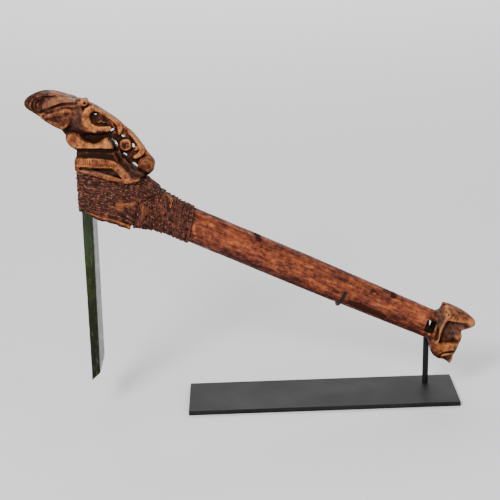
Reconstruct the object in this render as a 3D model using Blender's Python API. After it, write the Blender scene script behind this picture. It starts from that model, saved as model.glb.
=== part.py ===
"""A ceremonial adze on its metal stand.

Units are metres and +Z is up. X runs along the base plate, with the blade at -X. -Y is the front.
The origin is the centre of the base plate's underside.
"""
import math

import bmesh
import bpy
from mathutils import Matrix, Vector

MM = 0.001

# Clearance between pieces that touch
GAP = 0.3 * MM

# Base plate
PLATE_LENGTH = 270 * MM
PLATE_WIDTH = 74 * MM
PLATE_THICKNESS = 4.5 * MM
PLATE_EDGE = 0.5 * MM

# Post, arm and hook
POST_DIAMETER = 6 * MM
POST_FROM_PLATE_END = 28.2 * MM
POST_LEAN = math.radians(1.2)
POST_CLEARANCE = 2 * MM
ARM_DIAMETER = 4.5 * MM
ARM_BELOW_AXIS = 4 * MM
HOOK_DIAMETER = 3 * MM
HOOK_FROM_POST = 83.5 * MM
HOOK_TIP_RISE = 1 * MM

# Shaft: an oval bar that slopes down towards the post, and thins from its middle to the butt
SHAFT_HEIGHT = 126.5 * MM
SHAFT_SLOPE = math.radians(25.5)
SHAFT_TO_COLLAR = 125 * MM
SHAFT_TO_BUTT = 113 * MM
COLLAR_DEPTH = 33.8 * MM
COLLAR_WIDTH = 30.8 * MM
MIDDLE_DEPTH = 33.2 * MM
MIDDLE_WIDTH = 30.2 * MM
BUTT_DEPTH = 29.2 * MM
BUTT_WIDTH = 27.4 * MM
BUTT_TAPER = 6 * MM

# Wrist-cord slot through the butt
SLOT_LENGTH = 10 * MM
SLOT_HEIGHT = 12.5 * MM
SLOT_FROM_BUTT = 5.4 * MM
SLOT_TILT = math.radians(19)

# Foot, figure and butt head are drawn on grids, scaled to these sizes
FOOT_LENGTH = 94 * MM
FOOT_GRID = 94
FIGURE_HEIGHT = 100 * MM
FIGURE_GRID = 100
HEAD_HEIGHT = 64 * MM
HEAD_GRID = 64

# Blade
BLADE_LENGTH = 203 * MM
BLADE_EDGE_WIDTH = 54.6 * MM
BLADE_BUTT_WIDTH = 42 * MM
BLADE_THICKNESS = 10.9 * MM
BLADE_TIP_THICKNESS = 8.7 * MM
BLADE_BEVEL = 7 * MM
BLADE_EDGE_THICKNESS = 0.9 * MM
BLADE_EDGE_SAG = 1.8 * MM
BLADE_SHOULDER = 3 * MM
BLADE_TILT = math.radians(0.7)
BLADE_TOP_BELOW_FRAME = 8 * MM
BLADE_SEAT_DEPTH = 0.9 * MM
# How the blade's sides spread, how square its section is, and how late its edge curves
BLADE_SPREAD_POWER = 0.8
BLADE_SIDE_POWER = 0.14
BLADE_FACE_POWER = 0.14
BLADE_SAG_POWER = 8
BLADE_POINTS = 32

# Windings
LASHING_THICKNESS = 1.9 * MM
LASHING_CORNER = 3 * MM
LASHING_FRONT_DROP = 1.7 * MM
BINDING_THICKNESS = 1.2 * MM
COLLAR_TILT = math.radians(13.3)
COLLAR_REACH = 60 * MM
FRONT_REACH = 20 * MM

# Proud lip of wood along the foot's lower edge
STRIP_PROUD = 4.2 * MM
STRIP_EDGE = 0.7 * MM

# Finish of each material: colour, roughness and metallic value
WOOD_LOOK = ((0.33, 0.13, 0.055), 0.45, 0)
GREENSTONE_LOOK = ((0.05, 0.12, 0.06), 0.2, 0)
CORD_LOOK = ((0.09, 0.045, 0.035), 0.8, 0)
PLATE_LOOK = ((0.02, 0.02, 0.02), 0.4, 0.5)
POST_LOOK = ((0.02, 0.02, 0.02), 0.35, 0.5)

# Modelling limits: merge distance, share of a face normal that counts as flat, reach of cutters
MERGE = 0.05 * MM
FLAT = 0.01
LARGE = 0.2
SMOOTH_ANGLE = math.radians(35)
SECTION_POINTS = 20
CARVED_POINTS = 14
DISC_POINTS = 14
ARCH_POINTS = 6
POST_POINTS = 16
ARM_POINTS = 12
HOOK_POINTS = 8
HOOK_TURN_POINTS = 12

# Foot stations from its front to the collar: distance along the foot, top, bottom, half width and
# squareness of the section. Heights are from the shaft's axis at the collar.
FOOT_STATIONS = (
    (94, 61.0, 19.0, 23.2, 9.0),
    (80, 59.2, 10.8, 23.2, 7.6),
    (66, 56.4, 6.2, 22.4, 5.6),
    (54, 53.3, 3.1, 20.7, 4.5),
    (46, 50.6, 1.1, 19.3, 4.0),
    (37, 42.5, -0.8, 18.1, 3.4),
    (29, 35.8, -3.8, 17.0, 2.9),
    (20, 29.8, -8.5, 16.2, 2.5),
    (10, 23.6, -13.7, 15.6, 2.2),
)

# Figure on a grid 100 high, its zero at the heel's level
FIGURE_FROM_FRONT = 19
FIGURE_ABOVE_AXIS = 37.9
FRAME_HALF = 26.8
FRAME_TOP = ((-32.2, 36), (-30.5, 37.8), (-21, 38.3), (-5, 37.6), (4, 35.2), (11, 29.2),
             (16, 23.4), (22, 17), (29, 14.4))
FRAME_BOTTOM = ((23, 12), (17, 11), (10, 12.2), (-2, 15.6), (-19, 21), (-30, 24.4), (-32.4, 26))
FRAME_RECESS = ((-26, 28.2), (3, 27.3), (7.5, 22.4), (13, 15.6), (0, 20.4), (-12, 24.4))
FRAME_RECESS_HALF = 19
LEDGE = ((-30.5, 35), (-30.2, 43), (-18, 43), (-2, 42), (5, 40.5), (8, 33), (0, 32))
LEDGE_HALF = 22.5
LIMB = ((-39, 60), (-40.5, 55), (-38.5, 49.5), (-33.5, 45), (-26, 42.3), (-10, 41.3), (0, 40.8),
        (4, 43), (4.6, 48), (2, 53), (-3, 53.6), (-8, 50.2), (-14, 48.4), (-19, 50.4),
        (-24, 55.4), (-30, 59.8), (-35, 61.6))
LIMB_HALF = 17
WEB = ((-46, 62), (-46, 74), (-31, 91), (-25, 90.8), (-13, 84.8), (-2, 77.4), (7, 71.2),
       (13, 65.3), (22, 57.3), (28.5, 49), (37, 36), (42, 28), (41, 19), (36, 14.5), (30, 13),
       (20, 16), (8, 30), (2, 37), (-12, 40), (-30, 42), (-36, 50))
WEB_HALF = 3.2
NECK = ((-44, 61), (-45, 78), (-32, 91), (-26, 88), (-21, 72), (-14, 62), (-3, 57.4), (-12, 56.8),
        (-26, 57.4), (-31, 55), (-39, 54))
NECK_HALF = 8.4
SCROLL = ((1, 61.5, 2.2), (-4, 60.9, 2.9), (-10, 60.9, 3.1), (-15.5, 62.9, 3.4),
          (-19.5, 67.3, 3.8), (-20.8, 73.3, 3.9), (-18.5, 79, 3.6), (-13, 81.3, 2.8),
          (-6.5, 79.2, 2.4), (-0.5, 75.3, 2.4), (5.5, 70.4, 2.5), (9.8, 65.4, 2.4),
          (11, 60, 2.2), (9.8, 55.8, 1.5))
SCROLL_HALF = 7.6
COLUMN = ((19.5, 57.4, 1.8), (23.5, 54.4, 2.4), (27.5, 48, 2.6), (30.2, 42.6, 2.7),
          (30.6, 38.2, 2.7), (28, 34.6, 2.4), (23.5, 32.8, 1.8))
COLUMN_HALF = 7.3
STRAP = ((6.8, 45, 1.4), (8.4, 38.6, 1.9), (12, 31, 2.4), (17.6, 23.2, 2.6), (24, 17.4, 2.8),
         (30.4, 15.2, 2.2))
STRAP_HALF = 9.6
TONGUE = ((-10, 67.8, 1.2), (-6, 69, 1.8), (-1, 68, 2), (2.5, 64.5, 1.4))
TONGUE_HALF = 5.4
BOSS = (15.6, 45.2, 6.2)
BOSS_HALF = 8.2
STUD = (24.6, 41.2, 2.6)
STUD_HALF = 6.8
KNOB = (34.2, 25, 8)
KNOB_HALF = 9.2
TOP_STUD = (-22, 87.2, 3.6)
TOP_STUD_HALF = 6.8
RIDGE = ((-40, 97), (-26, 91.2), (-13, 84.7), (-2, 77), (7, 70.6), (13, 64.9), (22, 56.7),
         (28.4, 48.4), (36.6, 35.4), (42.6, 27), (50, 14))
RIDGE_HALF = 9.9
RIDGE_ROUND = 3.2
PIERCINGS = (
    ((-13, 74.6, 1), (-10.8, 75, 1)),
    ((-7.2, 66.6, 0.8), (-1.6, 66.8, 0.8)),
    ((1.6, 58.4, 1.4), (4.2, 60, 1.4)),
    ((12.6, 53, 1.6), (15.4, 51.4, 1.5)),
    ((0.2, 52.6, 1), (3.4, 49.4, 1.7), (6, 45, 1.9), (7.6, 40.4, 1.2)),
    ((21.8, 45.4, 1), (22.8, 41.8, 1.8)),
    ((12.6, 35, 1.9), (14.6, 34.2, 1.9)),
    ((21.6, 24.4, 3.1), (23.4, 22.2, 3.1)),
)

# Hood and lips at the top of the figure: place along X, top, bottom, half width
HOOD_STATIONS = (
    (-78.8, 89, 85.4, 2.6),
    (-76.4, 92.4, 82.6, 6.4),
    (-70, 96.4, 78.4, 10.4),
    (-62, 99, 72.8, 12.6),
    (-54, 99.4, 67.6, 13.6),
    (-46, 98, 63.6, 13.8),
    (-39, 95.6, 61.6, 12.6),
    (-32, 92.2, 63, 10.6),
    (-27, 89.4, 68, 8.6),
)
HOOD_SQUARENESS = 2.8
HOOD_RECESS = ((-73.6, 86.4), (-71.4, 90.8), (-66.4, 94), (-58, 95.8), (-48, 95.4), (-38, 93.2),
               (-28, 90), (-27, 82), (-38, 80), (-50, 79.4), (-60, 79), (-66, 79.8), (-71.4, 82.6))
HOOD_RECESS_HALF = 7.4
UPPER_LIP = ((-61, 85.6), (-59, 89.6), (-54.6, 92.4), (-49, 94), (-42, 94), (-35, 92.6),
             (-30, 90.4), (-30, 87.6), (-38, 88), (-45.4, 86.8), (-53, 83.8), (-59.8, 81.2))
UPPER_LIP_HALF = 12
CHEEK = ((-62.4, 78), (-56, 79.4), (-47.6, 82), (-38.6, 83.2), (-33, 80.4), (-34.6, 73),
         (-37.4, 65.6), (-44, 63), (-54, 68.4), (-61.6, 74))
CHEEK_HALF = 13.8
LIP_RING = (-60, 76.8, 3.4)
LIP_RING_HALF = 12.6

# Proud lip of wood along the foot's lower edge, on the foot's grid with its zero at the collar
STRIP_TOP = ((-100.4, 24.1), (-88, 18.7), (-73, 14.2), (-63.5, 10.6), (-57.6, 6.4))
STRIP_BOTTOM = ((-58.8, 3), (-62.3, 4.8), (-68.8, 7.2), (-74.5, 9.3), (-80, 12), (-88, 13.2),
                (-95, 18.3), (-100.6, 23.2))
# Where the lashing's top edge leaves the frame, on the figure's grid
LASHING_END = ((28.2, 13.2), (29.2, 12.2), (33.6, 12.2))
NECK_BOUNDARY = ((-59, -4), (-57.5, 3), (-52.5, 17), (-49.5, 28), (-38, 33.2), (-25, 37.6),
                 (-19, 46), (-19, 70))

# Butt head on a grid 64 high, its zero on the shaft's axis at the butt
MASS_STATIONS = (
    (-12, 9, -7, 10),
    (-7.4, 11, -12, 12.4),
    (-5.2, 12.4, -18, 13),
    (-4, 13.6, -26, 13.2),
    (-1, 15.2, -31.4, 13.3),
    (3.4, 16.2, -34.8, 13.3),
    (8.6, 18.6, -35.8, 13),
    (13, 17.6, -36, 12.6),
    (17, 8, -34, 12),
    (20.4, 0, -29, 10.6),
    (23.4, -8, -23, 8.4),
    (24.8, -13, -19, 4),
)
BROW_STATIONS = (
    (3, 12, 4, 7),
    (8, 19.6, 1, 11.6),
    (12.4, 22.2, -1.6, 12.4),
    (18, 20.6, -3.6, 12.2),
    (25, 17, -5.2, 11.2),
    (32, 12.4, -4.4, 9),
    (37.6, 7.8, -3, 6.2),
    (41.2, 3.8, -1, 2.8),
)
HEAD_SQUARENESS = 2.5
SOCKET = ((12.4, 8.6), (9.6, 3), (7, -2.4), (4.2, -9), (1.8, -14), (6, -15.4), (13, -15.2),
          (21, -16.4), (30, -18), (36, -12), (35, -2), (29, 3.4), (22.6, 6.6), (17, 7.6))
SOCKET_HALF = 6.4
KEEL = ((8, -20), (12, 8), (22, 6), (27.4, -4), (26, -9), (26.8, -15), (23.4, -20))
KEEL_HALF = 5.6
NOSE = (22.8, -10.4, 4.4)
NOSE_HALF = 8.6
CHIN = ((5, -32), (12, -36.4), (15.4, -39.6), (18, -35.4), (19, -28), (8, -26))
CHIN_HALF = 6


def clear_scene():
    for thing in list(bpy.data.objects):
        bpy.data.objects.remove(thing)


def make_material(name, colour, roughness, metallic):
    material = bpy.data.materials.new(name)
    material.use_nodes = True
    shader = material.node_tree.nodes["Principled BSDF"]
    shader.inputs["Base Color"].default_value = (*colour, 1)
    shader.inputs["Roughness"].default_value = roughness
    shader.inputs["Metallic"].default_value = metallic
    return material


def make_object(name, mesh, collection=None):
    thing = bpy.data.objects.new(name, mesh)
    (collection or bpy.context.scene.collection).objects.link(thing)
    return thing


def guide_collection(name):
    collection = bpy.data.collections.new(name)
    bpy.context.scene.collection.children.link(collection)
    return collection


def hide_guide(thing):
    thing.hide_render = True
    thing.display_type = "WIRE"
    return thing


def boolean(thing, operation, other):
    """Adds an exact boolean with another object or with every object of a collection."""
    modifier = thing.modifiers.new(operation.title(), "BOOLEAN")
    modifier.operation = operation
    modifier.solver = "EXACT"
    if isinstance(other, bpy.types.Collection):
        modifier.operand_type = "COLLECTION"
        modifier.collection = other
    else:
        modifier.object = other
    return modifier


def finish_mesh(name, mesh_edit):
    """Turns the faces outwards and stores the edited mesh."""
    bmesh.ops.recalc_face_normals(mesh_edit, faces=mesh_edit.faces)
    mesh = bpy.data.meshes.new(name)
    mesh_edit.to_mesh(mesh)
    mesh_edit.free()
    return mesh


def loft(name, rings):
    """A closed solid through rings of points, each with the same count."""
    mesh_edit = bmesh.new()
    loops = []
    for ring in rings:
        corners = [mesh_edit.verts.new(point) for point in ring]
        pairs = zip(corners, corners[1:] + corners[:1])
        loops.append([mesh_edit.edges.new(pair) for pair in pairs])
    for near, far in zip(loops, loops[1:]):
        bmesh.ops.bridge_loops(mesh_edit, edges=near + far)
    for loop in (loops[0], loops[-1]):
        bmesh.ops.contextual_create(mesh_edit, geom=loop)
    bmesh.ops.triangulate(mesh_edit, faces=list(mesh_edit.faces))
    return finish_mesh(name, mesh_edit)


def slab(name, outline, half_width, edge=0.0):
    """Stands an outline of (x, z) points in the middle plane and thickens it both ways along Y."""
    mesh_edit = bmesh.new()
    corners = [mesh_edit.verts.new((x, -half_width, z)) for x, z in outline]
    near = mesh_edit.faces.new(corners)
    made = bmesh.ops.extrude_face_region(mesh_edit, geom=[near])
    far = [item for item in made["geom"] if isinstance(item, bmesh.types.BMVert)]
    bmesh.ops.translate(mesh_edit, verts=far, vec=(0, 2 * half_width, 0))
    if edge:
        rims = [item for item in mesh_edit.edges
                if abs(item.verts[0].co.y - item.verts[1].co.y) < half_width]
        bmesh.ops.bevel(mesh_edit, geom=rims, offset=edge, segments=1, profile=0.5,
                        affect="EDGES", clamp_overlap=True)
        bmesh.ops.remove_doubles(mesh_edit, verts=mesh_edit.verts, dist=MERGE)
        mesh_edit.normal_update()
        sloped = [face for face in mesh_edit.faces if FLAT < abs(face.normal.y) < 1 - FLAT]
        bmesh.ops.triangulate(mesh_edit, faces=sloped)
    return finish_mesh(name, mesh_edit)


def hermite(before, start, end, after, share):
    """The point at a share of the way from start to end on a smooth curve."""
    return tuple(
        0.5 * (2 * b + (c - a) * share + (2 * a - 5 * b + 4 * c - d) * share ** 2
               + (3 * b - a - 3 * c + d) * share ** 3)
        for a, b, c, d in zip(before, start, end, after))


def smooth_path(points, steps):
    """An open smooth curve through the points."""
    padded = [points[0], *points, points[-1]]
    path = []
    for index in range(1, len(padded) - 2):
        stretch = padded[index - 1:index + 3]
        path += [hermite(*stretch, step / steps) for step in range(steps)]
    return path + [tuple(points[-1])]


def smooth_loop(points, steps):
    """A closed smooth curve through the points."""
    count = len(points)
    loop = []
    for index in range(count):
        stretch = [points[(index + offset) % count] for offset in (-1, 0, 1, 2)]
        loop += [hermite(*stretch, step / steps) for step in range(steps)]
    return loop


def disc(centre_x, centre_z, radius, count):
    turns = [2 * math.pi * index / count for index in range(count)]
    return [(centre_x + radius * math.cos(turn), centre_z + radius * math.sin(turn))
            for turn in turns]


def ribbon(points, cap_steps=3):
    """The outline of a band along a curve of (x, z, half width) points, with round ends."""
    path = smooth_path(points, 2)
    left, right, headings = [], [], []
    for index, (x, z, half) in enumerate(path):
        before = path[max(index - 1, 0)]
        after = path[min(index + 1, len(path) - 1)]
        heading = math.atan2(after[1] - before[1], after[0] - before[0])
        headings.append(heading)
        left.append((x - half * math.sin(heading), z + half * math.cos(heading)))
        right.append((x + half * math.sin(heading), z - half * math.cos(heading)))
    caps = []
    for end, start_turn in ((-1, math.pi / 2), (0, -math.pi / 2)):
        x, z, half = path[end]
        turns = [headings[end] + start_turn - math.pi * step / cap_steps
                 for step in range(1, cap_steps)]
        caps.append([(x + half * math.cos(turn), z + half * math.sin(turn)) for turn in turns])
    return left + caps[0] + right[::-1] + caps[1]


def axis_height(x):
    """Height of the shaft's axis at a place along X."""
    return SHAFT_HEIGHT - x * math.tan(SHAFT_SLOPE)


COLLAR = (-SHAFT_TO_COLLAR, axis_height(-SHAFT_TO_COLLAR))
BUTT = (SHAFT_TO_BUTT, axis_height(SHAFT_TO_BUTT))
HEAD_ZERO = BUTT
FOOT_SCALE = FOOT_LENGTH / FOOT_GRID
FIGURE_SCALE = FIGURE_HEIGHT / FIGURE_GRID
HEAD_SCALE = HEAD_HEIGHT / HEAD_GRID
FOOT_FRONT = COLLAR[0] - FOOT_LENGTH
FIGURE_ZERO = (FOOT_FRONT + FIGURE_FROM_FRONT * FOOT_SCALE,
               COLLAR[1] + FIGURE_ABOVE_AXIS * FOOT_SCALE)
POST_X = PLATE_LENGTH / 2 - POST_FROM_PLATE_END
HOOK_X = POST_X - HOOK_FROM_POST


def place(points, zero, scale):
    """Moves grid points to their real place. A third value is a width and is only scaled."""
    return [(zero[0] + point[0] * scale, zero[1] + point[1] * scale,
             *(value * scale for value in point[2:])) for point in points]


def in_figure(points):
    return place(points, FIGURE_ZERO, FIGURE_SCALE)


def in_head(points):
    return place(points, HEAD_ZERO, HEAD_SCALE)


def in_foot(points):
    return place(points, COLLAR, FOOT_SCALE)


def shaft_size(x):
    """Half depth and half width of the oval shaft, square to its axis."""
    depth, width = MIDDLE_DEPTH, MIDDLE_WIDTH
    if x < 0:
        share = x / COLLAR[0]
        depth += (COLLAR_DEPTH - MIDDLE_DEPTH) * share
        width += (COLLAR_WIDTH - MIDDLE_WIDTH) * share
    else:
        share = x / BUTT[0]
        depth += (BUTT_DEPTH - MIDDLE_DEPTH) * share
        width += (BUTT_WIDTH - MIDDLE_WIDTH) * share
    return depth / 2, width / 2


def shaft_section(x):
    """Top, bottom, half width and squareness of the shaft in an upright plane."""
    half_depth, half_width = shaft_size(x)
    rise = half_depth / math.cos(SHAFT_SLOPE)
    return x, axis_height(x) + rise, axis_height(x) - rise, half_width, 2.0


def oval_ring(x, top, bottom, half_width, squareness, grow=0.0, count=SECTION_POINTS):
    """A ring of points in an upright plane, between an oval and a rectangle."""
    centre, half_height = (top + bottom) / 2, (top - bottom) / 2 + grow
    ring = []
    for index in range(count):
        turn = 2 * math.pi * (index + 0.5) / count
        power = 2 / squareness
        across = math.copysign(abs(math.cos(turn)) ** power, math.cos(turn))
        up = math.copysign(abs(math.sin(turn)) ** power, math.sin(turn))
        ring.append((x, (half_width + grow) * across, centre + half_height * up))
    return ring


def core_sections():
    """The stations of the foot and the shaft, from the foot's front to the butt."""
    foot = [(COLLAR[0] - along * FOOT_SCALE, COLLAR[1] + top * FOOT_SCALE,
             COLLAR[1] + bottom * FOOT_SCALE, half * FOOT_SCALE, squareness)
            for along, top, bottom, half, squareness in FOOT_STATIONS]
    shaft = [shaft_section(x) for x in (COLLAR[0], 0.0, BUTT[0])]
    x, top, bottom, half_width, squareness = shaft_section(BUTT[0] + BUTT_TAPER)
    narrowed = BUTT_TAPER / 4
    tapered = (x, top - narrowed, bottom + narrowed, half_width - narrowed, squareness)
    return foot + shaft + [tapered]


def core_mesh(name, grow=0.0):
    return loft(name, [oval_ring(*section, grow) for section in core_sections()])


def station_mesh(name, stations, zero, scale, squareness, steps=2):
    """A rounded form along X through stations of place, top, bottom and half width."""
    placed = [(zero[0] + x * scale, zero[1] + top * scale, zero[1] + bottom * scale, half * scale)
              for x, top, bottom, half in stations]
    rings = [oval_ring(*section, squareness, count=CARVED_POINTS)
             for section in smooth_path(placed, steps)]
    return loft(name, rings)


def blade_top():
    frame_front = FIGURE_ZERO[1] + FRAME_BOTTOM[-2][1] * FIGURE_SCALE
    return Vector((FOOT_FRONT + BLADE_SEAT_DEPTH - GAP, 0, frame_front - BLADE_TOP_BELOW_FRAME))


def blade_mesh(name, grow=0.0):
    """The blade from its butt down to the edge, with the bevel on the side of the shaft."""
    top = blade_top()
    bevel_start = BLADE_LENGTH - BLADE_BEVEL
    levels = ((0, BLADE_TIP_THICKNESS), (BLADE_SHOULDER, BLADE_THICKNESS),
              (bevel_start, BLADE_TIP_THICKNESS), (BLADE_LENGTH, BLADE_EDGE_THICKNESS))
    spread = BLADE_EDGE_WIDTH - BLADE_BUTT_WIDTH
    rings = []
    for down, thickness in levels:
        share = down / BLADE_LENGTH
        half_width = (BLADE_BUTT_WIDTH + spread * share ** BLADE_SPREAD_POWER) / 2
        front = -(BLADE_THICKNESS + (BLADE_TIP_THICKNESS - BLADE_THICKNESS) * share)
        middle = front + thickness / 2
        ring = []
        for index in range(BLADE_POINTS):
            turn = 2 * math.pi * (index + 0.5) / BLADE_POINTS
            across = math.copysign(abs(math.cos(turn)) ** BLADE_SIDE_POWER, math.cos(turn))
            through = math.copysign(abs(math.sin(turn)) ** BLADE_FACE_POWER, math.sin(turn))
            sag = BLADE_EDGE_SAG * share ** BLADE_SAG_POWER * (1 - across ** 2)
            ring.append(Vector((middle + through * (thickness / 2 + grow),
                                across * (half_width + grow), -down - sag)))
        rings.append(ring)
    rings[0] = [point + Vector((0, 0, grow)) for point in rings[0]]
    rings[-1] = [point - Vector((0, 0, grow)) for point in rings[-1]]
    mesh = loft(name, rings)
    mesh.transform(Matrix.Translation(top) @ Matrix.Rotation(BLADE_TILT, 4, "Y"))
    return mesh


def ridge_mesh(name):
    """The round-backed envelope that the openwork stays inside. It follows the ridge line."""
    start, end = Vector(RIDGE[0]), Vector(RIDGE[-1])
    chord = (end - start).normalized()
    inward = Vector((chord.y, -chord.x))
    rings = []
    for x, z in in_figure(RIDGE):
        ring = []
        for step in range(ARCH_POINTS + 1):
            turn = math.pi * step / ARCH_POINTS
            depth = RIDGE_ROUND * (1 - math.sin(turn)) * FIGURE_SCALE
            ring.append((x + inward.x * depth, RIDGE_HALF * math.cos(turn) * FIGURE_SCALE,
                         z + inward.y * depth))
        ring += [(x + inward.x * FIGURE_HEIGHT, side * RIDGE_HALF * FIGURE_SCALE,
                  z + inward.y * FIGURE_HEIGHT) for side in (-1, 1)]
        rings.append(ring)
    return loft(name, rings)


def openwork():
    """The pierced part of the figure: scrolls, column, boss and strap on a thin web."""
    forms = guide_collection("openwork forms")
    bands = (("scroll", SCROLL, SCROLL_HALF, 1.1), ("column", COLUMN, COLUMN_HALF, 1.0),
             ("strap", STRAP, STRAP_HALF, 0.9), ("tongue", TONGUE, TONGUE_HALF, 0.6))
    for name, points, half, edge in bands:
        outline = in_figure(ribbon(points))
        hide_guide(make_object(name, slab(name, outline, half * FIGURE_SCALE,
                                          edge * FIGURE_SCALE), forms))
    discs = (("boss", BOSS, BOSS_HALF, 1.6, 12), ("stud", STUD, STUD_HALF, 0.8, 8),
             ("knob", KNOB, KNOB_HALF, 2.2, DISC_POINTS), ("top stud", TOP_STUD, TOP_STUD_HALF, 1.0, 10))
    for name, circle, half, edge, count in discs:
        outline = in_figure(disc(*circle, count))
        hide_guide(make_object(name, slab(name, outline, half * FIGURE_SCALE,
                                          edge * FIGURE_SCALE), forms))
    web = hide_guide(make_object("web", slab("web", in_figure(WEB), WEB_HALF * FIGURE_SCALE)))
    envelope = hide_guide(make_object("ridge envelope", ridge_mesh("ridge envelope")))
    boolean(web, "UNION", forms)
    boolean(web, "INTERSECT", envelope)
    return web


def hood():
    """The rounded hood at the top of the figure, hollowed on both sides for the lips."""
    mesh = station_mesh("hood", HOOD_STATIONS, FIGURE_ZERO, FIGURE_SCALE, HOOD_SQUARENESS)
    hood_object = hide_guide(make_object("hood", mesh))
    recesses = guide_collection("hood recesses")
    side_pockets(recesses, "hood recess", in_figure(smooth_loop(HOOD_RECESS, 2)),
                 HOOD_RECESS_HALF * FIGURE_SCALE)
    boolean(hood_object, "DIFFERENCE", recesses)
    return hood_object


def figure_forms(collection):
    """The solid forms of the figure: frame, ledge, limb, neck, hood, lips and cheek."""
    forms = (("frame", FRAME_TOP + FRAME_BOTTOM, FRAME_HALF, 1.4),
             ("ledge", LEDGE, LEDGE_HALF, 1.2),
             ("limb", smooth_loop(LIMB, 2), LIMB_HALF, 2.6),
             ("neck", NECK, NECK_HALF, 1.6),
             ("upper lip", smooth_loop(UPPER_LIP, 2), UPPER_LIP_HALF, 1.2),
             ("cheek", smooth_loop(CHEEK, 2), CHEEK_HALF, 2.6),
             ("lip ring", disc(*LIP_RING, DISC_POINTS), LIP_RING_HALF, 0.8))
    for name, outline, half, edge in forms:
        mesh = slab(name, in_figure(outline), half * FIGURE_SCALE, edge * FIGURE_SCALE)
        hide_guide(make_object(name, mesh, collection))
    collection.objects.link(openwork())
    collection.objects.link(hood())


def side_pockets(collection, name, outline, inner_half):
    """Cuts an outline into both sides, down to a distance from the middle plane."""
    for side, side_name in ((-1, "front"), (1, "back")):
        mesh = slab(name, outline, LARGE / 2)
        mesh.transform(Matrix.Translation((0, side * (LARGE / 2 + inner_half), 0)))
        hide_guide(make_object(name + " " + side_name, mesh, collection))


def figure_cuts(collection):
    side_pockets(collection, "frame recess", in_figure(FRAME_RECESS),
                 FRAME_RECESS_HALF * FIGURE_SCALE)
    for number, points in enumerate(PIERCINGS, 1):
        name = "piercing %d" % number
        outline = in_figure(ribbon(points))
        hide_guide(make_object(name, slab(name, outline, LARGE / 2), collection))


def butt_forms(collection):
    """The stylised head at the butt: the brow, and the nape and jaw in one mass."""
    brow = station_mesh("brow", BROW_STATIONS, HEAD_ZERO, HEAD_SCALE, HEAD_SQUARENESS)
    hide_guide(make_object("brow", brow, collection))
    mass = station_mesh("nape and jaw", MASS_STATIONS, HEAD_ZERO, HEAD_SCALE, HEAD_SQUARENESS, 1)
    hide_guide(make_object("nape and jaw", mass, collection))


def butt_details(collection):
    """What stands inside the sockets and under the jaw: keel, nose and chin."""
    forms = (("keel", KEEL, KEEL_HALF, 0),
             ("nose", disc(*NOSE, DISC_POINTS), NOSE_HALF, 1.8),
             ("chin", CHIN, CHIN_HALF, 1.0))
    for name, outline, half, edge in forms:
        mesh = slab(name, in_head(outline), half * HEAD_SCALE, edge * HEAD_SCALE)
        hide_guide(make_object(name, mesh, collection))


def slot_outline():
    """The wrist-cord slot: a rectangle on the shaft's axis, slightly turned from it."""
    along = Vector((math.cos(SLOT_TILT), -math.sin(SLOT_TILT)))
    across = Vector((math.sin(SLOT_TILT), math.cos(SLOT_TILT)))
    slot_x = BUTT[0] - SLOT_FROM_BUTT
    centre = Vector((slot_x, axis_height(slot_x)))
    corners = ((-1, -1), (1, -1), (1, 1), (-1, 1))
    return [tuple(centre + along * (u * SLOT_LENGTH / 2) + across * (v * SLOT_HEIGHT / 2))
            for u, v in corners]


def strip_mesh(name, grow=0.0):
    half = BLADE_BUTT_WIDTH / 2 + STRIP_PROUD + grow
    return slab(name, in_foot(STRIP_TOP + STRIP_BOTTOM), half, 0 if grow else STRIP_EDGE)


def haft():
    """One carved piece of wood: foot, figure, shaft and butt head."""
    haft_object = make_object("haft", core_mesh("haft"))
    forms = guide_collection("haft forms")
    hide_guide(make_object("strip", strip_mesh("strip"), forms))
    figure_forms(forms)
    butt_forms(forms)
    cuts = guide_collection("haft cuts")
    figure_cuts(cuts)
    side_pockets(cuts, "socket", in_head(smooth_loop(SOCKET, 2)), SOCKET_HALF * HEAD_SCALE)
    hide_guide(make_object("seat", blade_mesh("seat", GAP), cuts))
    hide_guide(make_object("wrist slot", slab("wrist slot", slot_outline(), LARGE / 2), cuts))
    details = guide_collection("haft details")
    butt_details(details)
    boolean(haft_object, "UNION", forms)
    boolean(haft_object, "DIFFERENCE", cuts)
    boolean(haft_object, "UNION", details)
    haft_object.data.materials.append(make_material("carved wood", *WOOD_LOOK))
    return haft_object


def blade():
    blade_object = make_object("blade", blade_mesh("blade"))
    blade_object.data.materials.append(make_material("greenstone", *GREENSTONE_LOOK))
    return blade_object


def front_wrap_mesh(name, grow):
    """The part of the winding that passes round the blade's front."""
    top = blade_top()
    front = top.x - BLADE_THICKNESS - grow
    side = FOOT_STATIONS[0][3] * FOOT_SCALE + grow - GAP
    corner = LASHING_CORNER
    corner_steps = 4
    outline = [(FOOT_FRONT + corner, side)]
    for step in range(corner_steps + 1):
        turn = math.pi / 2 * (1 + step / corner_steps)
        outline.append((front + corner + corner * math.cos(turn),
                        side - corner + corner * math.sin(turn)))
    outline += [(x, -y) for x, y in reversed(outline)]
    heights = (top.z - BLADE_LENGTH / 2, top.z + BLADE_TOP_BELOW_FRAME)
    return loft(name, [[(x, y, height) for x, y in outline] for height in heights])


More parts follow.
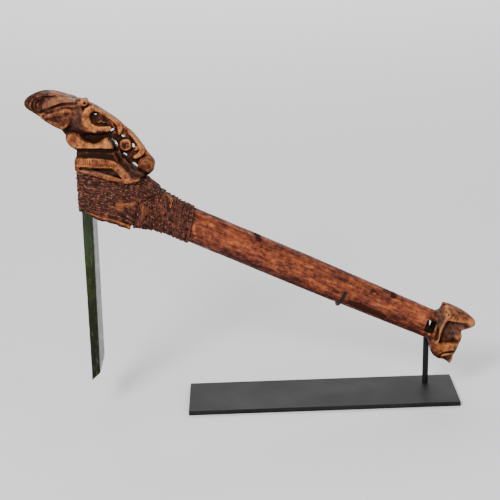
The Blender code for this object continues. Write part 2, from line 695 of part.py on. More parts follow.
def winding(name, thickness, cut_outlines, region, round_blade):
    """A sleeve of wound cord between the wood and its outer face, cut to its own part of the haft."""
    reach = GAP + thickness
    sleeve = make_object(name, core_mesh(name, reach))
    cuts = guide_collection(name + " cuts")
    hide_guide(make_object(name + " core", core_mesh(name + " core", GAP), cuts))
    if round_blade:
        wrap = hide_guide(make_object(name + " front", front_wrap_mesh(name + " front", reach)))
        boolean(sleeve, "UNION", wrap)
        hide_guide(make_object(name + " blade", blade_mesh(name + " blade", GAP), cuts))
        hide_guide(make_object(name + " strip", strip_mesh(name + " strip", GAP), cuts))
    for number, outline in enumerate(cut_outlines, 1):
        cut_name = "%s cut %d" % (name, number)
        hide_guide(make_object(cut_name, slab(cut_name, outline, LARGE / 2), cuts))
    boolean(sleeve, "DIFFERENCE", cuts)
    region_name = name + " region"
    region_object = hide_guide(make_object(region_name, slab(region_name, region, LARGE / 2)))
    boolean(sleeve, "DIFFERENCE" if round_blade else "INTERSECT", region_object)
    sleeve.data.materials.append(make_material(name, *CORD_LOOK))
    return sleeve


def shifted(points, along_x, along_z):
    return [(x + along_x, z + along_z) for x, z in points]


def neck_region(offset):
    """The area that the neck binding covers, from the blade lashing to the collar edge."""
    reach = Vector((COLLAR_REACH * math.tan(COLLAR_TILT), COLLAR_REACH))
    collar_edge = [tuple(Vector(COLLAR) + reach), tuple(Vector(COLLAR) - reach)]
    boundary = shifted(in_foot(NECK_BOUNDARY), offset, 0)
    start = (boundary[0][0], COLLAR[1] - COLLAR_REACH)
    return [start] + boundary + collar_edge


def windings():
    """Two windings: one holds the blade to the foot, the other covers the haft's neck."""
    under_frame = shifted(in_figure(FRAME_BOTTOM[::-1] + LASHING_END), 0, -GAP)
    first, last = under_frame[0], under_frame[-1]
    before_blade = first[0] - FRONT_REACH
    above = [(last[0], LARGE * 2), (before_blade, LARGE * 2), (before_blade, first[1])]
    lower_edge = shifted(in_foot(STRIP_TOP), 0, GAP)
    front_height = lower_edge[0][1] - LASHING_FRONT_DROP
    below = [(before_blade, front_height), (FOOT_FRONT - BLADE_THICKNESS, front_height)]
    strip_end = lower_edge[-1][0] + STRIP_EDGE
    below += lower_edge + [(strip_end, lower_edge[-1][1]), (strip_end, 0), (before_blade, 0)]
    right_of_boundary = neck_region(-GAP / 2)[:-2] + [(LARGE, LARGE * 2), (LARGE, -LARGE)]
    blade_lashing = winding("blade_lashing", LASHING_THICKNESS, [under_frame + above, below],
                            right_of_boundary, True)
    neck_binding = winding("neck_binding", BINDING_THICKNESS, [], neck_region(GAP / 2), False)
    return blade_lashing, neck_binding


def stand_base():
    """The base plate, with a slight bevel round its edges."""
    mesh_edit = bmesh.new()
    bmesh.ops.create_cube(mesh_edit, size=1)
    bmesh.ops.scale(mesh_edit, vec=(PLATE_LENGTH, PLATE_WIDTH, PLATE_THICKNESS),
                    verts=mesh_edit.verts)
    bmesh.ops.translate(mesh_edit, vec=(0, 0, PLATE_THICKNESS / 2), verts=mesh_edit.verts)
    bmesh.ops.bevel(mesh_edit, geom=list(mesh_edit.edges), offset=PLATE_EDGE, segments=2,
                    profile=0.5, affect="EDGES")
    plate = make_object("stand_base", finish_mesh("stand_base", mesh_edit))
    plate.data.materials.append(make_material("plate steel", *PLATE_LOOK))
    return plate


def rod(name, path, diameter, sides):
    """A round rod along a path of points, with flat ends."""
    points = [Vector(point) for point in path]
    side = Vector((0, 0, 1)).cross(Vector((1, 0, 0)))
    if abs((points[1] - points[0]).normalized().y) > 1 - FLAT:
        side = Vector((1, 0, 0))
    rings = []
    for index, point in enumerate(points):
        before, after = points[max(index - 1, 0)], points[min(index + 1, len(points) - 1)]
        heading = (after - before).normalized()
        side = (side - heading * side.dot(heading)).normalized()
        other = heading.cross(side)
        turns = [2 * math.pi * step / sides for step in range(sides)]
        rings.append([point + (side * math.cos(turn) + other * math.sin(turn)) * diameter / 2
                      for turn in turns])
    return loft(name, rings)


def stand_post():
    """The post, the arm along the back of the shaft and the hook under it, welded together."""
    along = Vector((math.cos(SHAFT_SLOPE), 0, -math.sin(SHAFT_SLOPE)))
    up = Vector((math.sin(SHAFT_SLOPE), 0, math.cos(SHAFT_SLOPE)))
    hook_centre = Vector((HOOK_X, 0, axis_height(HOOK_X)))
    hook_depth, hook_width = shaft_size(HOOK_X)
    butt_width = shaft_size(POST_X)[1]
    post_y = butt_width + POST_CLEARANCE + POST_DIAMETER / 2
    arm_y = hook_width + GAP + ARM_DIAMETER / 2
    arm_end = hook_centre - up * ARM_BELOW_AXIS + Vector((0, arm_y, 0))
    arm_start = arm_end + along * (HOOK_FROM_POST / along.x)
    post_top = arm_start.z + ARM_DIAMETER
    overlap = ARM_DIAMETER / 2
    rise = post_top - PLATE_THICKNESS - GAP
    post_path = [(POST_X, post_y, PLATE_THICKNESS + GAP),
                 (POST_X + rise * math.tan(POST_LEAN), post_y, post_top)]
    post = make_object("stand_post", rod("stand_post", post_path, POST_DIAMETER, POST_POINTS))
    arm_path = [arm_start + along * overlap, arm_end - along * overlap]
    arm = hide_guide(make_object("arm", rod("arm", arm_path, ARM_DIAMETER, ARM_POINTS)))
    reach = GAP + HOOK_DIAMETER / 2
    start_turn = math.asin(min(ARM_BELOW_AXIS / (hook_depth + reach), 1))
    end_turn = math.pi + math.asin(HOOK_TIP_RISE / (hook_depth + reach))
    hook_path = []
    for step in range(HOOK_TURN_POINTS + 1):
        turn = start_turn + (end_turn - start_turn) * step / HOOK_TURN_POINTS
        hook_path.append(hook_centre + Vector((0, math.cos(turn) * (hook_width + reach), 0))
                         - up * math.sin(turn) * (hook_depth + reach))
    hook = hide_guide(make_object("hook", rod("hook", hook_path, HOOK_DIAMETER, HOOK_POINTS)))
    boolean(post, "UNION", arm)
    boolean(post, "UNION", hook)
    post.data.materials.append(make_material("post steel", *POST_LOOK))
    return post


def shade_smooth(thing):
    for face in thing.data.polygons:
        face.use_smooth = True
    thing.data.set_sharp_from_angle(angle=SMOOTH_ANGLE)


def main():
    clear_scene()
    pieces = [haft(), blade(), *windings(), stand_base(), stand_post()]
    for piece in pieces:
        shade_smooth(piece)


main()
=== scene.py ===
# %% [markdown]
# A ceremonial adze on its stand.
# A greenstone blade is bound with twisted cord to a carved wooden haft, and a black metal stand holds
# it up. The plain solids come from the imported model, and this file gives them their finished surfaces.
# All places are in metres, in the model's own frame. -Y is the front, where the camera is.

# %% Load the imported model
import math
import random

import bmesh
import bpy
import numpy as np
from mathutils import Matrix, Vector, kdtree, noise
from mathutils.bvhtree import BVHTree


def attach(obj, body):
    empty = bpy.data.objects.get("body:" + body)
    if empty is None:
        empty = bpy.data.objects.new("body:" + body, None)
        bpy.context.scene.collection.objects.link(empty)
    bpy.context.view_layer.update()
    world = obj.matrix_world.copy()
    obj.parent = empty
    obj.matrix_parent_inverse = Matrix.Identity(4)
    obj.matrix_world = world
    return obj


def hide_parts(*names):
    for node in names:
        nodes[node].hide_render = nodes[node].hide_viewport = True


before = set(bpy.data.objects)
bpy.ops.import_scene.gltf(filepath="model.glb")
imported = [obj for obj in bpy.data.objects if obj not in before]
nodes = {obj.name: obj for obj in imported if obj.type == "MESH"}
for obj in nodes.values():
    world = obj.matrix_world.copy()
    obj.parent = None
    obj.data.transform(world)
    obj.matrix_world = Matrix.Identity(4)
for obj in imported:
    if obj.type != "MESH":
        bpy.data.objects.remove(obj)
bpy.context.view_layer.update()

MM = 0.001
print("solids:", ", ".join(sorted(nodes)))

# %% [markdown]
# The camera stands in front of the butt of the haft, a little over a metre away and above it. Its place
# was worked out from the straight edges of the base plate and the post. A long lens keeps the shaft
# from looking stretched.

# %% Camera
YAW, PITCH, ROLL = 0.007, 0.291, -0.033
CAMERA_PLACE = (-0.078057, -1.309846, 0.55036)
LENS, SENSOR_WIDTH = 100, 36


def new_object(name, data):
    thing = bpy.data.objects.new(name, data)
    bpy.context.scene.collection.objects.link(thing)
    return thing


forward = Vector((math.sin(YAW) * math.cos(PITCH), math.cos(YAW) * math.cos(PITCH), -math.sin(PITCH)))
level = Vector((math.cos(YAW), -math.sin(YAW), 0))
upright = level.cross(forward)
across = math.cos(ROLL) * level + math.sin(ROLL) * upright
upward = -math.sin(ROLL) * level + math.cos(ROLL) * upright
camera_data = bpy.data.cameras.new("camera")
camera_data.lens = LENS
camera_data.sensor_width = SENSOR_WIDTH
camera = new_object("camera", camera_data)
turn = Matrix((across, upward, -forward)).transposed().to_4x4()
camera.matrix_world = Matrix.Translation(CAMERA_PLACE) @ turn
bpy.context.scene.camera = camera
print("camera at", tuple(round(value, 3) for value in camera.location))

# %% [markdown]
# The studio is a wide pale floor under soft light. One large lamp hangs above the left front and models
# the carving. A second, weaker one fills from the right, a third lights the floor behind, and the pale
# surroundings do the rest, so shadows stay faint.

# %% Floor and lights
def plain_material(name, colour, roughness):
    material = bpy.data.materials.new(name)
    material.use_nodes = True
    shader = material.node_tree.nodes["Principled BSDF"]
    shader.inputs["Base Color"].default_value = (*colour, 1)
    shader.inputs["Roughness"].default_value = roughness
    return material


FLOOR_HALF = 8
floor_edit = bmesh.new()
bmesh.ops.create_grid(floor_edit, x_segments=2, y_segments=2, size=FLOOR_HALF)
floor_mesh = bpy.data.meshes.new("floor")
floor_edit.to_mesh(floor_mesh)
floor_edit.free()
floor = new_object("floor", floor_mesh)
floor_mesh.materials.append(plain_material("pale floor", (0.8, 0.79, 0.805), 0.7))


def add_lamp(name, place, aim, size, power, colour):
    lamp_data = bpy.data.lights.new(name, "AREA")
    lamp_data.shape = "DISK"
    lamp_data.size = size
    lamp_data.energy = power
    lamp_data.color = colour
    lamp = new_object(name, lamp_data)
    lamp.location = place
    lamp.rotation_euler = (Vector(aim) - Vector(place)).to_track_quat("-Z", "Y").to_euler()


add_lamp("key lamp", (-0.8, -1.5, 1.25), (-0.05, 0, 0.15), 0.7, 40, (1.0, 0.98, 0.95))
add_lamp("fill lamp", (1.6, -1.0, 0.9), (0, 0, 0.15), 1.4, 8, (0.95, 0.97, 1.0))
add_lamp("floor lamp", (0, 4.5, 3), (0, 4.5, 0), 5, 190, (1.0, 1.0, 1.0))
world = bpy.data.worlds.new("pale room")
bpy.context.scene.world = world
world.use_nodes = True
world.node_tree.nodes["Background"].inputs["Color"].default_value = (0.9, 0.9, 0.92, 1)
world.node_tree.nodes["Background"].inputs["Strength"].default_value = 0.85
print("floor", 2 * FLOOR_HALF, "m across, three lamps")

# %% [markdown]
# Several pieces start from their solid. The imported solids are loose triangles, so a copy is merged
# first. A fine voxel remesh then joins added forms to it and rounds every edge, the way an old carving
# is rounded by hands. After that the surface is dense enough to be carved by moving its points.

# %% Tools for meshes
WELD = 0.01 * MM


def merged_copy(node):
    edit = bmesh.new()
    edit.from_mesh(nodes[node].data)
    bmesh.ops.remove_doubles(edit, verts=edit.verts, dist=WELD)
    return edit


def store(edit, name):
    mesh = bpy.data.meshes.new(name)
    edit.to_mesh(mesh)
    edit.free()
    return new_object(name, mesh)


def applied(thing, name):
    """A plain mesh of the object as its modifiers leave it. The object itself is removed."""
    graph = bpy.context.evaluated_depsgraph_get()
    mesh = bpy.data.meshes.new_from_object(thing.evaluated_get(graph))
    bpy.data.objects.remove(thing)
    return new_object(name, mesh)


def add_to(edit, one):
    """Puts a small bmesh into a larger one."""
    mesh = bpy.data.meshes.new("part")
    one.to_mesh(mesh)
    one.free()
    edit.from_mesh(mesh)
    bpy.data.meshes.remove(mesh)


def remeshed(edit, name, voxel):
    thing = store(edit, name + " raw")
    remesh = thing.modifiers.new("Remesh", "REMESH")
    remesh.mode = "VOXEL"
    remesh.voxel_size = voxel
    return applied(thing, name)


def points_of(mesh):
    values = np.empty(len(mesh.vertices) * 3)
    mesh.vertices.foreach_get("co", values)
    return values.reshape(-1, 3)


def set_points(mesh, points):
    mesh.vertices.foreach_set("co", points.ravel())
    mesh.update()


def shade_smooth(mesh):
    mesh.polygons.foreach_set("use_smooth", [True] * len(mesh.polygons))


def normals_of(mesh):
    values = np.empty(len(mesh.vertices) * 3)
    mesh.vertex_normals.foreach_get("vector", values)
    return values.reshape(-1, 3)


def edges_of(mesh):
    values = np.empty(len(mesh.edges) * 2, dtype=np.int32)
    mesh.edges.foreach_get("vertices", values)
    return values.reshape(-1, 2)


def tree_of(mesh):
    """The mesh in a form that rays and nearest points can be looked up in."""
    return BVHTree.FromPolygons([Vector(point) for point in points_of(mesh)],
                                [tuple(face.vertices) for face in mesh.polygons])


def neighbour_mean(values, edges, count):
    """The mean of each point's neighbours."""
    total = np.zeros_like(values)
    for axis in range(values.shape[1]):
        total[:, axis] = np.bincount(edges[:, 0], values[edges[:, 1], axis], count)
        total[:, axis] += np.bincount(edges[:, 1], values[edges[:, 0], axis], count)
    return total / np.maximum(np.bincount(edges.ravel(), minlength=count), 1)[:, None]


def smoothed(values, edges, rounds, strength=0.6):
    for _ in range(rounds):
        values = values + strength * (neighbour_mean(values, edges, len(values)) - values)
    return values


print("mesh tools ready")

# %% [markdown]
# Carving needs soft limits, slow noise that stays on the wood, and distances to drawn lines. Each tool
# takes all points of a mesh and gives back one number for each, so a cut is a sum of such numbers.

# %% Tools for carving
def step_between(values, low, high):
    share = np.clip((values - low) / (high - low), 0, 1)
    return share * share * (3 - 2 * share)


def noise_at(points, scale, offset=0.0):
    shift = Vector((offset, offset * 0.7, offset * 1.3))
    return np.array([noise.noise(Vector(point) * scale + shift) for point in points])


def distance_to_line(places, line):
    """Distance of each (x, z) place to a polyline, and how far along it the nearest point is."""
    best = np.full(len(places), 1e9)
    along = np.zeros(len(places))
    walked = 0.0
    for start, end in zip(line, line[1:]):
        start, run = np.array(start), np.array(end) - np.array(start)
        length = math.hypot(*run)
        share = np.clip(((places - start) @ run) / length ** 2, 0, 1)
        gap = np.hypot(*(places - start - share[:, None] * run).T)
        nearer = gap < best
        best = np.where(nearer, gap, best)
        along = np.where(nearer, walked + share * length, along)
        walked += length
    return best, along


def float_attribute(mesh, name, values):
    attribute = mesh.attributes.new(name, "FLOAT", "POINT")
    attribute.data.foreach_set("value", np.asarray(values, dtype=np.float32))


print("carving tools ready")

# %% [markdown]
# The figure above the foot is drawn on a grid in millimetres, with its zero where the foot's heel
# meets the figure. The head at the butt has a grid of its own, with its zero on the shaft's axis.
# The same grids are used in the solid's drawing, so a groove lands where it should.

# %% Grids on the haft
FIGURE_ZERO = (-0.2, 0.2241)
HEAD_ZERO = (0.113, 0.0726)
SHAFT_SLOPE = math.radians(25.5)
SHAFT_HEIGHT = 0.1265


def on_grid(points, zero):
    return [(zero[0] + u * MM, zero[1] + v * MM) for u, v in points]


def smooth_line(points, steps=4):
    """A smooth curve through the points."""
    padded = [points[0], *points, points[-1]]
    line = []
    for a, b, c, d in zip(padded, padded[1:], padded[2:], padded[3:]):
        for step in range(steps):
            t = step / steps
            line.append(tuple(0.5 * (2 * q + (r - p) * t + (2 * p - 5 * q + 4 * r - s) * t * t
                                     + (3 * q - p - 3 * r + s) * t ** 3)
                              for p, q, r, s in zip(a, b, c, d)))
    return line + [tuple(points[-1])]


def rib(edit, line, radii, flat=1.0):
    """A round rib along a line of 3-D points: one circle at each point, bridged to the next."""
    line = [Vector(point) for point in line]
    loops = []
    for index, (point, radius) in enumerate(zip(line, radii)):
        heading = line[min(index + 1, len(line) - 1)] - line[max(index - 1, 0)]
        facing = heading.to_track_quat("Z", "Y").to_matrix().to_4x4()
        place = Matrix.Translation(point) @ facing @ Matrix.Diagonal((1, flat, 1, 1))
        made = bmesh.ops.create_circle(edit, cap_ends=index in (0, len(line) - 1), segments=10,
                                       radius=radius, matrix=place)
        corners = set(made["verts"])
        loops.append([item for item in edit.edges if item.is_valid and set(item.verts) <= corners])
    for near, far in zip(loops, loops[1:]):
        bmesh.ops.bridge_loops(edit, edges=near + far)
    bmesh.ops.recalc_face_normals(edit, faces=edit.faces)
    return edit


print("figure grid from", FIGURE_ZERO, "head grid from", HEAD_ZERO)

# %% [markdown]
# Some forms on the haft are too fine for the plain solid: thin lips nested inside the hood, the lower
# lip, rings on the studs and the boss, the inner band of the scroll, the two ridges down the nape of the
# butt head, and the small marks at its brow. Each is a round rib laid on both sides. Where no depth is
# given, a ray from the side finds the carved surface, and the rib is half sunk into it.

# %% Tools for ribs and studs
CLEAR_OF_HAFT = 0.06
haft_edit = merged_copy("haft")
haft_tree = BVHTree.FromBMesh(haft_edit)


def surface_depth(x, z, side):
    hit = haft_tree.ray_cast(Vector((x, side * CLEAR_OF_HAFT, z)), Vector((0, -side, 0)))[0]
    return abs(hit.y) if hit else None


def add_rib(zero, points, radius, end_radius=None, depth=None, proud=0.8):
    """A rib on each side. It stands proud of the surface by a share of its radius."""
    ends = end_radius if end_radius is not None else radius
    line = smooth_line(on_grid(points, zero))
    shares = np.linspace(-1, 1, len(line))
    radii = (radius + (ends - radius) * shares ** 2) * MM
    for side in (-1, 1):
        depths = [depth * MM if depth else surface_depth(x, z, side) for x, z in line]
        known = [value for value in depths if value is not None]
        if not known:
            continue
        depths = [value if value is not None else min(known) for value in depths]
        if depth is None:
            padded = np.pad(depths, 2, mode="edge")
            depths = np.convolve(padded, np.ones(5) / 5, mode="valid") + radii * (proud - 1)
        one = bmesh.new()
        rib(one, [(x, side * y, z) for (x, z), y in zip(line, depths)], radii)
        add_to(haft_edit, one)


def ring_points(u, v, radius, count=12):
    return [(u + radius * math.cos(2 * math.pi * index / count),
             v + radius * math.sin(2 * math.pi * index / count)) for index in range(count + 1)]


def add_stud(zero, u, v, radius, inner, outer):
    """A short round stud on each side, from one depth to another."""
    for side in (-1, 1):
        middle = (zero[0] + u * MM, side * (inner + outer) / 2 * MM, zero[1] + v * MM)
        place = Matrix.Translation(middle) @ Matrix.Rotation(math.pi / 2, 4, "X")
        bmesh.ops.create_cone(haft_edit, cap_ends=True, segments=24, radius1=radius * MM,
                              radius2=radius * MM, depth=(outer - inner) * MM, matrix=place)


print("rays start", CLEAR_OF_HAFT / MM, "mm to the side")

# %% [markdown]
# The lines are drawn on the two grids. The figure's forms come first, then those of the butt head.

# %% Fine forms of the haft
LOWER_LIP = [(-58.5, 80.2), (-52, 81.6), (-45, 84), (-38, 85.2), (-30, 84.4)]
add_rib(FIGURE_ZERO, LOWER_LIP, 2.4, 1.5, depth=9)
NESTED_LIPS = ([(-70.6, 81.4), (-72, 86), (-70.4, 90.6), (-66.2, 94), (-60.4, 96)],
               [(-63.8, 79.8), (-67.2, 81.8), (-68.8, 86), (-67.4, 90.2), (-63.4, 92.8), (-57.6, 94.2)],
               [(-62.6, 81.2), (-65, 83.8), (-65.2, 87), (-63.2, 90)])
for line, depth in zip(NESTED_LIPS, (8.6, 8, 7.8)):
    add_rib(FIGURE_ZERO, line, 0.9, 0.6, depth=depth)
add_rib(FIGURE_ZERO, ring_points(-60.2, 76.8, 2.2), 0.8)
add_stud(FIGURE_ZERO, -21.4, 86.9, 3, 2, 6.6)
add_rib(FIGURE_ZERO, ring_points(-21.4, 86.9, 2.3), 0.9, depth=6.4)
INNER_BAND = [(-8, 75.6), (-3.8, 73.6), (-0.1, 70.5), (3.5, 66.4), (6.2, 61.4)]
add_rib(FIGURE_ZERO, INNER_BAND, 1.2, 0.9, depth=5.2)
add_rib(FIGURE_ZERO, ring_points(15.2, 45.4, 4.7), 0.9)
add_rib(FIGURE_ZERO, ring_points(17.8, 43.5, 1.8, 8), 0.7)
NAPE_RIDGE = [(11.6, 11.7), (9.1, 8.2), (6.3, 3.4), (4.6, -1.4), (3.5, -6.2), (2.9, -11), (0.6, -14.4)]
add_rib(HEAD_ZERO, NAPE_RIDGE, 1.3, 0.8, proud=1.2)
SLOT_RIDGE = [(1.4, 11), (2.3, 4), (0.8, -4), (-2.4, -9)]
add_rib(HEAD_ZERO, SLOT_RIDGE, 0.9, 0.5, proud=0.7)
add_rib(HEAD_ZERO, ring_points(13.1, 14.5, 1.6), 0.7)
add_rib(HEAD_ZERO, ring_points(10.4, 17.2, 1.2), 0.5)
add_rib(HEAD_ZERO, [(7.6, 22.4), (10, 23.2), (12.6, 21.8)], 1.1, 0.6, proud=0.6)
add_rib(HEAD_ZERO, [(7, 20.2), (9.6, 20.6), (11.8, 19.6)], 0.8, 0.4, proud=0.6)
BROW_EDGE = [(12.9, 9.4), (18.1, 8), (25.6, 6.5), (32.5, 4.4), (38.2, 1.8)]
add_rib(HEAD_ZERO, BROW_EDGE, 1.2, 0.6, proud=0.7)
add_rib(HEAD_ZERO, [(7, -29.4), (11, -27.8), (15, -27.6)], 1.2, 0.6, proud=0.6)
print("haft copy with its ribs:", len(haft_edit.verts), "points")

# %% [markdown]
# Everything is joined in one skin. The socket of the butt head is rubbed softer than the rest, and off
# the shaft the skin is swelled a little, because smoothing thins narrow forms.

# %% Remesh the haft
HAFT_VOXEL = 0.62 * MM
SWELL = 0.2 * MM
ROUNDS, SOCKET_ROUNDS = 4, 40
SOCKET_MIDDLE = [(8, -8), (15, -3)]
haft = remeshed(haft_edit, "carved_haft", HAFT_VOXEL)
haft_points = points_of(haft.data)
haft_edges = edges_of(haft.data)
haft_points = smoothed(haft_points, haft_edges, ROUNDS)
set_points(haft.data, haft_points)
on_head = step_between(haft_points[:, 0], HEAD_ZERO[0] + 2 * MM, HEAD_ZERO[0] + 5 * MM)
from_socket, _ = distance_to_line(haft_points[:, [0, 2]], on_grid(SOCKET_MIDDLE, HEAD_ZERO))
worn_side = on_head * step_between(from_socket, 13 * MM, 8 * MM)
worn_side = worn_side * step_between(np.abs(haft_points[:, 1]), 3 * MM, 6 * MM)
rubbed = smoothed(haft_points, haft_edges, SOCKET_ROUNDS)
haft_points = haft_points + (rubbed - haft_points) * worn_side[:, None]
set_points(haft.data, haft_points)
SHAFT_FROM, SHAFT_TO = (-0.14, -0.12), (0.12, 0.1)
off_shaft = 1 - step_between(haft_points[:, 0], *SHAFT_FROM) * step_between(haft_points[:, 0], *SHAFT_TO)
haft_points = haft_points + normals_of(haft.data) * (off_shaft * SWELL)[:, None]
set_points(haft.data, haft_points)
print("remeshed haft:", len(haft_points), "points")

# %% [markdown]
# The knife and the years are put in by moving points along the surface's own direction. Grooves follow
# drawn lines. Notches repeat along a band. Slow noise leaves the faces slightly uneven, as adzed and
# hand-rubbed wood is. The cuts go into the front and the back alike.

# %% Cuts of the knife
def groove(points, line, width, depth):
    """How deep each point sinks for a groove along a line of (x, z) places."""
    gap, _ = distance_to_line(points[:, [0, 2]], line)
    return depth * np.exp(-(gap / width) ** 2)


def notches(points, line, reach, spacing, depth, slant=0.0):
    """Short cuts across a band, spaced along its middle line."""
    gap, along = distance_to_line(points[:, [0, 2]], line)
    shake = noise_at(points, 300, 9.0) * 0.5 * spacing
    wave = np.cos(2 * math.pi * (along + slant * gap + shake) / spacing)
    return depth * np.clip(wave, 0, 1) ** 1.5 * step_between(gap, reach, reach * 0.7)


def drawn(zero, points):
    return smooth_line(on_grid(points, zero))


print("grooves and notches ready")

# %% [markdown]
# The lines below are the lips, the cheek, the frame's bands, the scroll and the column of the figure,
# then the grooves beside them, those of the butt head, and the scars and the chip on the shaft. The
# foot's lower edge, along the lowest turns of the lashing, is ragged.

# %% Carve the haft
UPPER_LIP = [(-58, 85.4), (-53.4, 89.6), (-47, 91.4), (-40, 91), (-32, 89.4)]
CHEEK = [(-56, 76), (-49, 77.6), (-42, 79.4), (-36, 79.6)]
FRAME_BAND = [(-30, 33.6), (-16, 33.4), (-3, 32.4), (5, 29.6), (11, 23.6), (17, 17)]
FRAME_LOW = [(-30.3, 25.3), (-18.8, 22.4), (-7.5, 19), (5.8, 14.4), (17.3, 12.4), (27, 13.4)]
SCROLL = [(-1, 60.8), (-10, 60.6), (-15.5, 62.9), (-20, 67.3), (-21.2, 73.3), (-18.5, 79.2), (-13, 81.6),
          (-6.5, 79.6), (-0.5, 75.6), (5.5, 70.6), (10, 65.4), (11, 60)]
COLUMN = [(19.5, 57), (24, 52.4), (28, 46.4), (30.2, 41), (28.6, 35.6), (24.6, 33.4)]
MOUTH = [(-60, 81.4), (-53, 83.8), (-45, 86.5), (-37.4, 87.5), (-28.6, 87.2)]
haft_normals = normals_of(haft.data)
facing_side = step_between(np.abs(haft_normals[:, 1]), 0.35, 0.8)
sink = np.zeros(len(haft_points))
NOTCHED = ((UPPER_LIP, 4.2, 1.9, 0.5, 0), (CHEEK, 4.2, 1.7, 0.34, 0.1), (FRAME_BAND, 2.8, 2.1, 0.34, 0.15),
           (FRAME_LOW, 1.8, 2.3, 0.26, 0.1), (SCROLL, 2.4, 2.3, 0.26, 0.1), (COLUMN, 2.2, 2.2, 0.3, 0.1))
for points, reach, spacing, depth, slant in NOTCHED:
    sink += notches(haft_points, drawn(FIGURE_ZERO, points), reach * MM, spacing * MM, depth * MM, slant)
GROOVES = (
    (FIGURE_ZERO, MOUTH, 0.9, 1.6),
    (FIGURE_ZERO, [(-26.8, 27.9), (-20, 27.2), (-12, 25.6)], 1.1, 3.4),
    (FIGURE_ZERO, [(-30, 44), (-14, 43.4), (2, 42.6)], 0.9, 1.4),
    (FIGURE_ZERO, [(-12, 84), (-4, 80.4), (3, 75), (9.4, 69), (13.6, 63)], 0.8, 0.8),
    (FIGURE_ZERO, [(23, 54.4), (28.6, 47.4), (32.4, 41)], 0.8, 0.7),
    (HEAD_ZERO, [(6.2, 12), (5, 8), (3.2, 2.6), (1.8, -3), (0.2, -9)], 2.2, 1.8),
    (HEAD_ZERO, [(-2.4, 3), (-4, -4), (-5.6, -9.6)], 1.6, 0.8),
    (HEAD_ZERO, [(4.6, -28.6), (9.8, -25.9), (15.6, -25.5), (19.4, -26)], 1.0, 1.5),
    (HEAD_ZERO, [(3.4, -13.4), (9.4, -14.6), (18, -14.4)], 0.8, 0.8),
    (HEAD_ZERO, [(9, 20), (12, 17.4), (16, 14), (15, 11)], 0.8, 0.7),
    ((0, 0), [(-68.6, 179.4), (-64, 175.4), (-59.6, 172)], 1.2, 0.9),
    ((0, 0), [(66, 114.6), (71, 112), (72, 107.6)], 2.6, 0.7),
    ((0, 0), [(51, 114.6), (55, 111)], 0.8, 0.5),
)
for zero, points, width, depth in GROOVES:
    sink += groove(haft_points, drawn(zero, points), width * MM, depth * MM)
sink *= facing_side
unevenness = noise_at(haft_points, 90) * 0.3 + noise_at(haft_points, 260, 3.1) * 0.16
dents = np.clip(noise_at(haft_points, 420, 6.2) - 0.28, 0, 1) * 1.2
sink += (unevenness + dents) * 0.6 * MM
STRIP_LINE = [(-0.224, 0.206), (-0.212, 0.202), (-0.198, 0.197), (-0.186, 0.192)]
from_strip, _ = distance_to_line(haft_points[:, [0, 2]], STRIP_LINE)
ragged = 0.5 + 1.5 * noise_at(haft_points, 210, 8.8) + noise_at(haft_points, 520, 2.2)
sink += 0.55 * MM * np.clip(ragged, 0, 2) * step_between(from_strip, 7 * MM, 5 * MM)
haft_points = haft_points - haft_normals * sink[:, None]
haft_points = smoothed(haft_points, haft_edges, 1, 0.3)
set_points(haft.data, haft_points)
print("deepest cut %.1f mm" % (sink.max() / MM))

# %% [markdown]
# Dirt, painted shade and old polish go by shape, so two values are measured on every point. The first
# says how closed in a point is: rays go out from it, and the share that hits the carving is kept; it
# darkens hollows as old dirt and painted shade. The second compares a point with its smoothed
# surroundings, so it is high on ridges that hands have rubbed.

# %% Thin the mesh and measure hollows and ridges
def thinned(thing, name, triangles):
    before = sum(len(face.vertices) - 2 for face in thing.data.polygons)
    decimate = thing.modifiers.new("Decimate", "DECIMATE")
    decimate.ratio = min(1.0, triangles / before)
    return applied(thing, name)


def closed_in(mesh, reach, rays=12):
    """The share of rays from each point that hit the mesh within reach."""
    points, normals = points_of(mesh), normals_of(mesh)
    tree = tree_of(mesh)
    golden = math.pi * (3 - math.sqrt(5))
    directions = []
    for index in range(rays):
        height = 0.15 + 0.8 * (index + 0.5) / rays
        radius = math.sqrt(1 - height * height)
        directions.append((radius * math.cos(golden * index), radius * math.sin(golden * index),
                           height))
    hits = np.zeros(len(points))
    for index, (point, normal) in enumerate(zip(points, normals)):
        normal = Vector(normal)
        side = normal.orthogonal().normalized()
        other = normal.cross(side)
        start = Vector(point) + normal * 0.15 * MM
        for a, b, c in directions:
            if tree.ray_cast(start, side * a + other * b + normal * c, reach)[0]:
                hits[index] += 1
    return hits / rays


HAFT_TRIANGLES = 192000
HOLLOW_REACH = 12 * MM
WIDE_ROUNDS, RIDGE_HEIGHT = 14, 0.35 * MM
haft = thinned(haft, "carved_haft", HAFT_TRIANGLES)
haft_points = points_of(haft.data)
haft_edges = edges_of(haft.data)
haft_normals = normals_of(haft.data)
wide = smoothed(haft_points, haft_edges, WIDE_ROUNDS)
ridge = np.clip(np.einsum("ij,ij->i", haft_points - wide, haft_normals) / RIDGE_HEIGHT, -1, 1)
hollow = smoothed(closed_in(haft.data, HOLLOW_REACH)[:, None], haft_edges, 2)[:, 0]
print("haft:", len(haft.data.polygons), "faces, hollow mean %.2f" % hollow.mean())
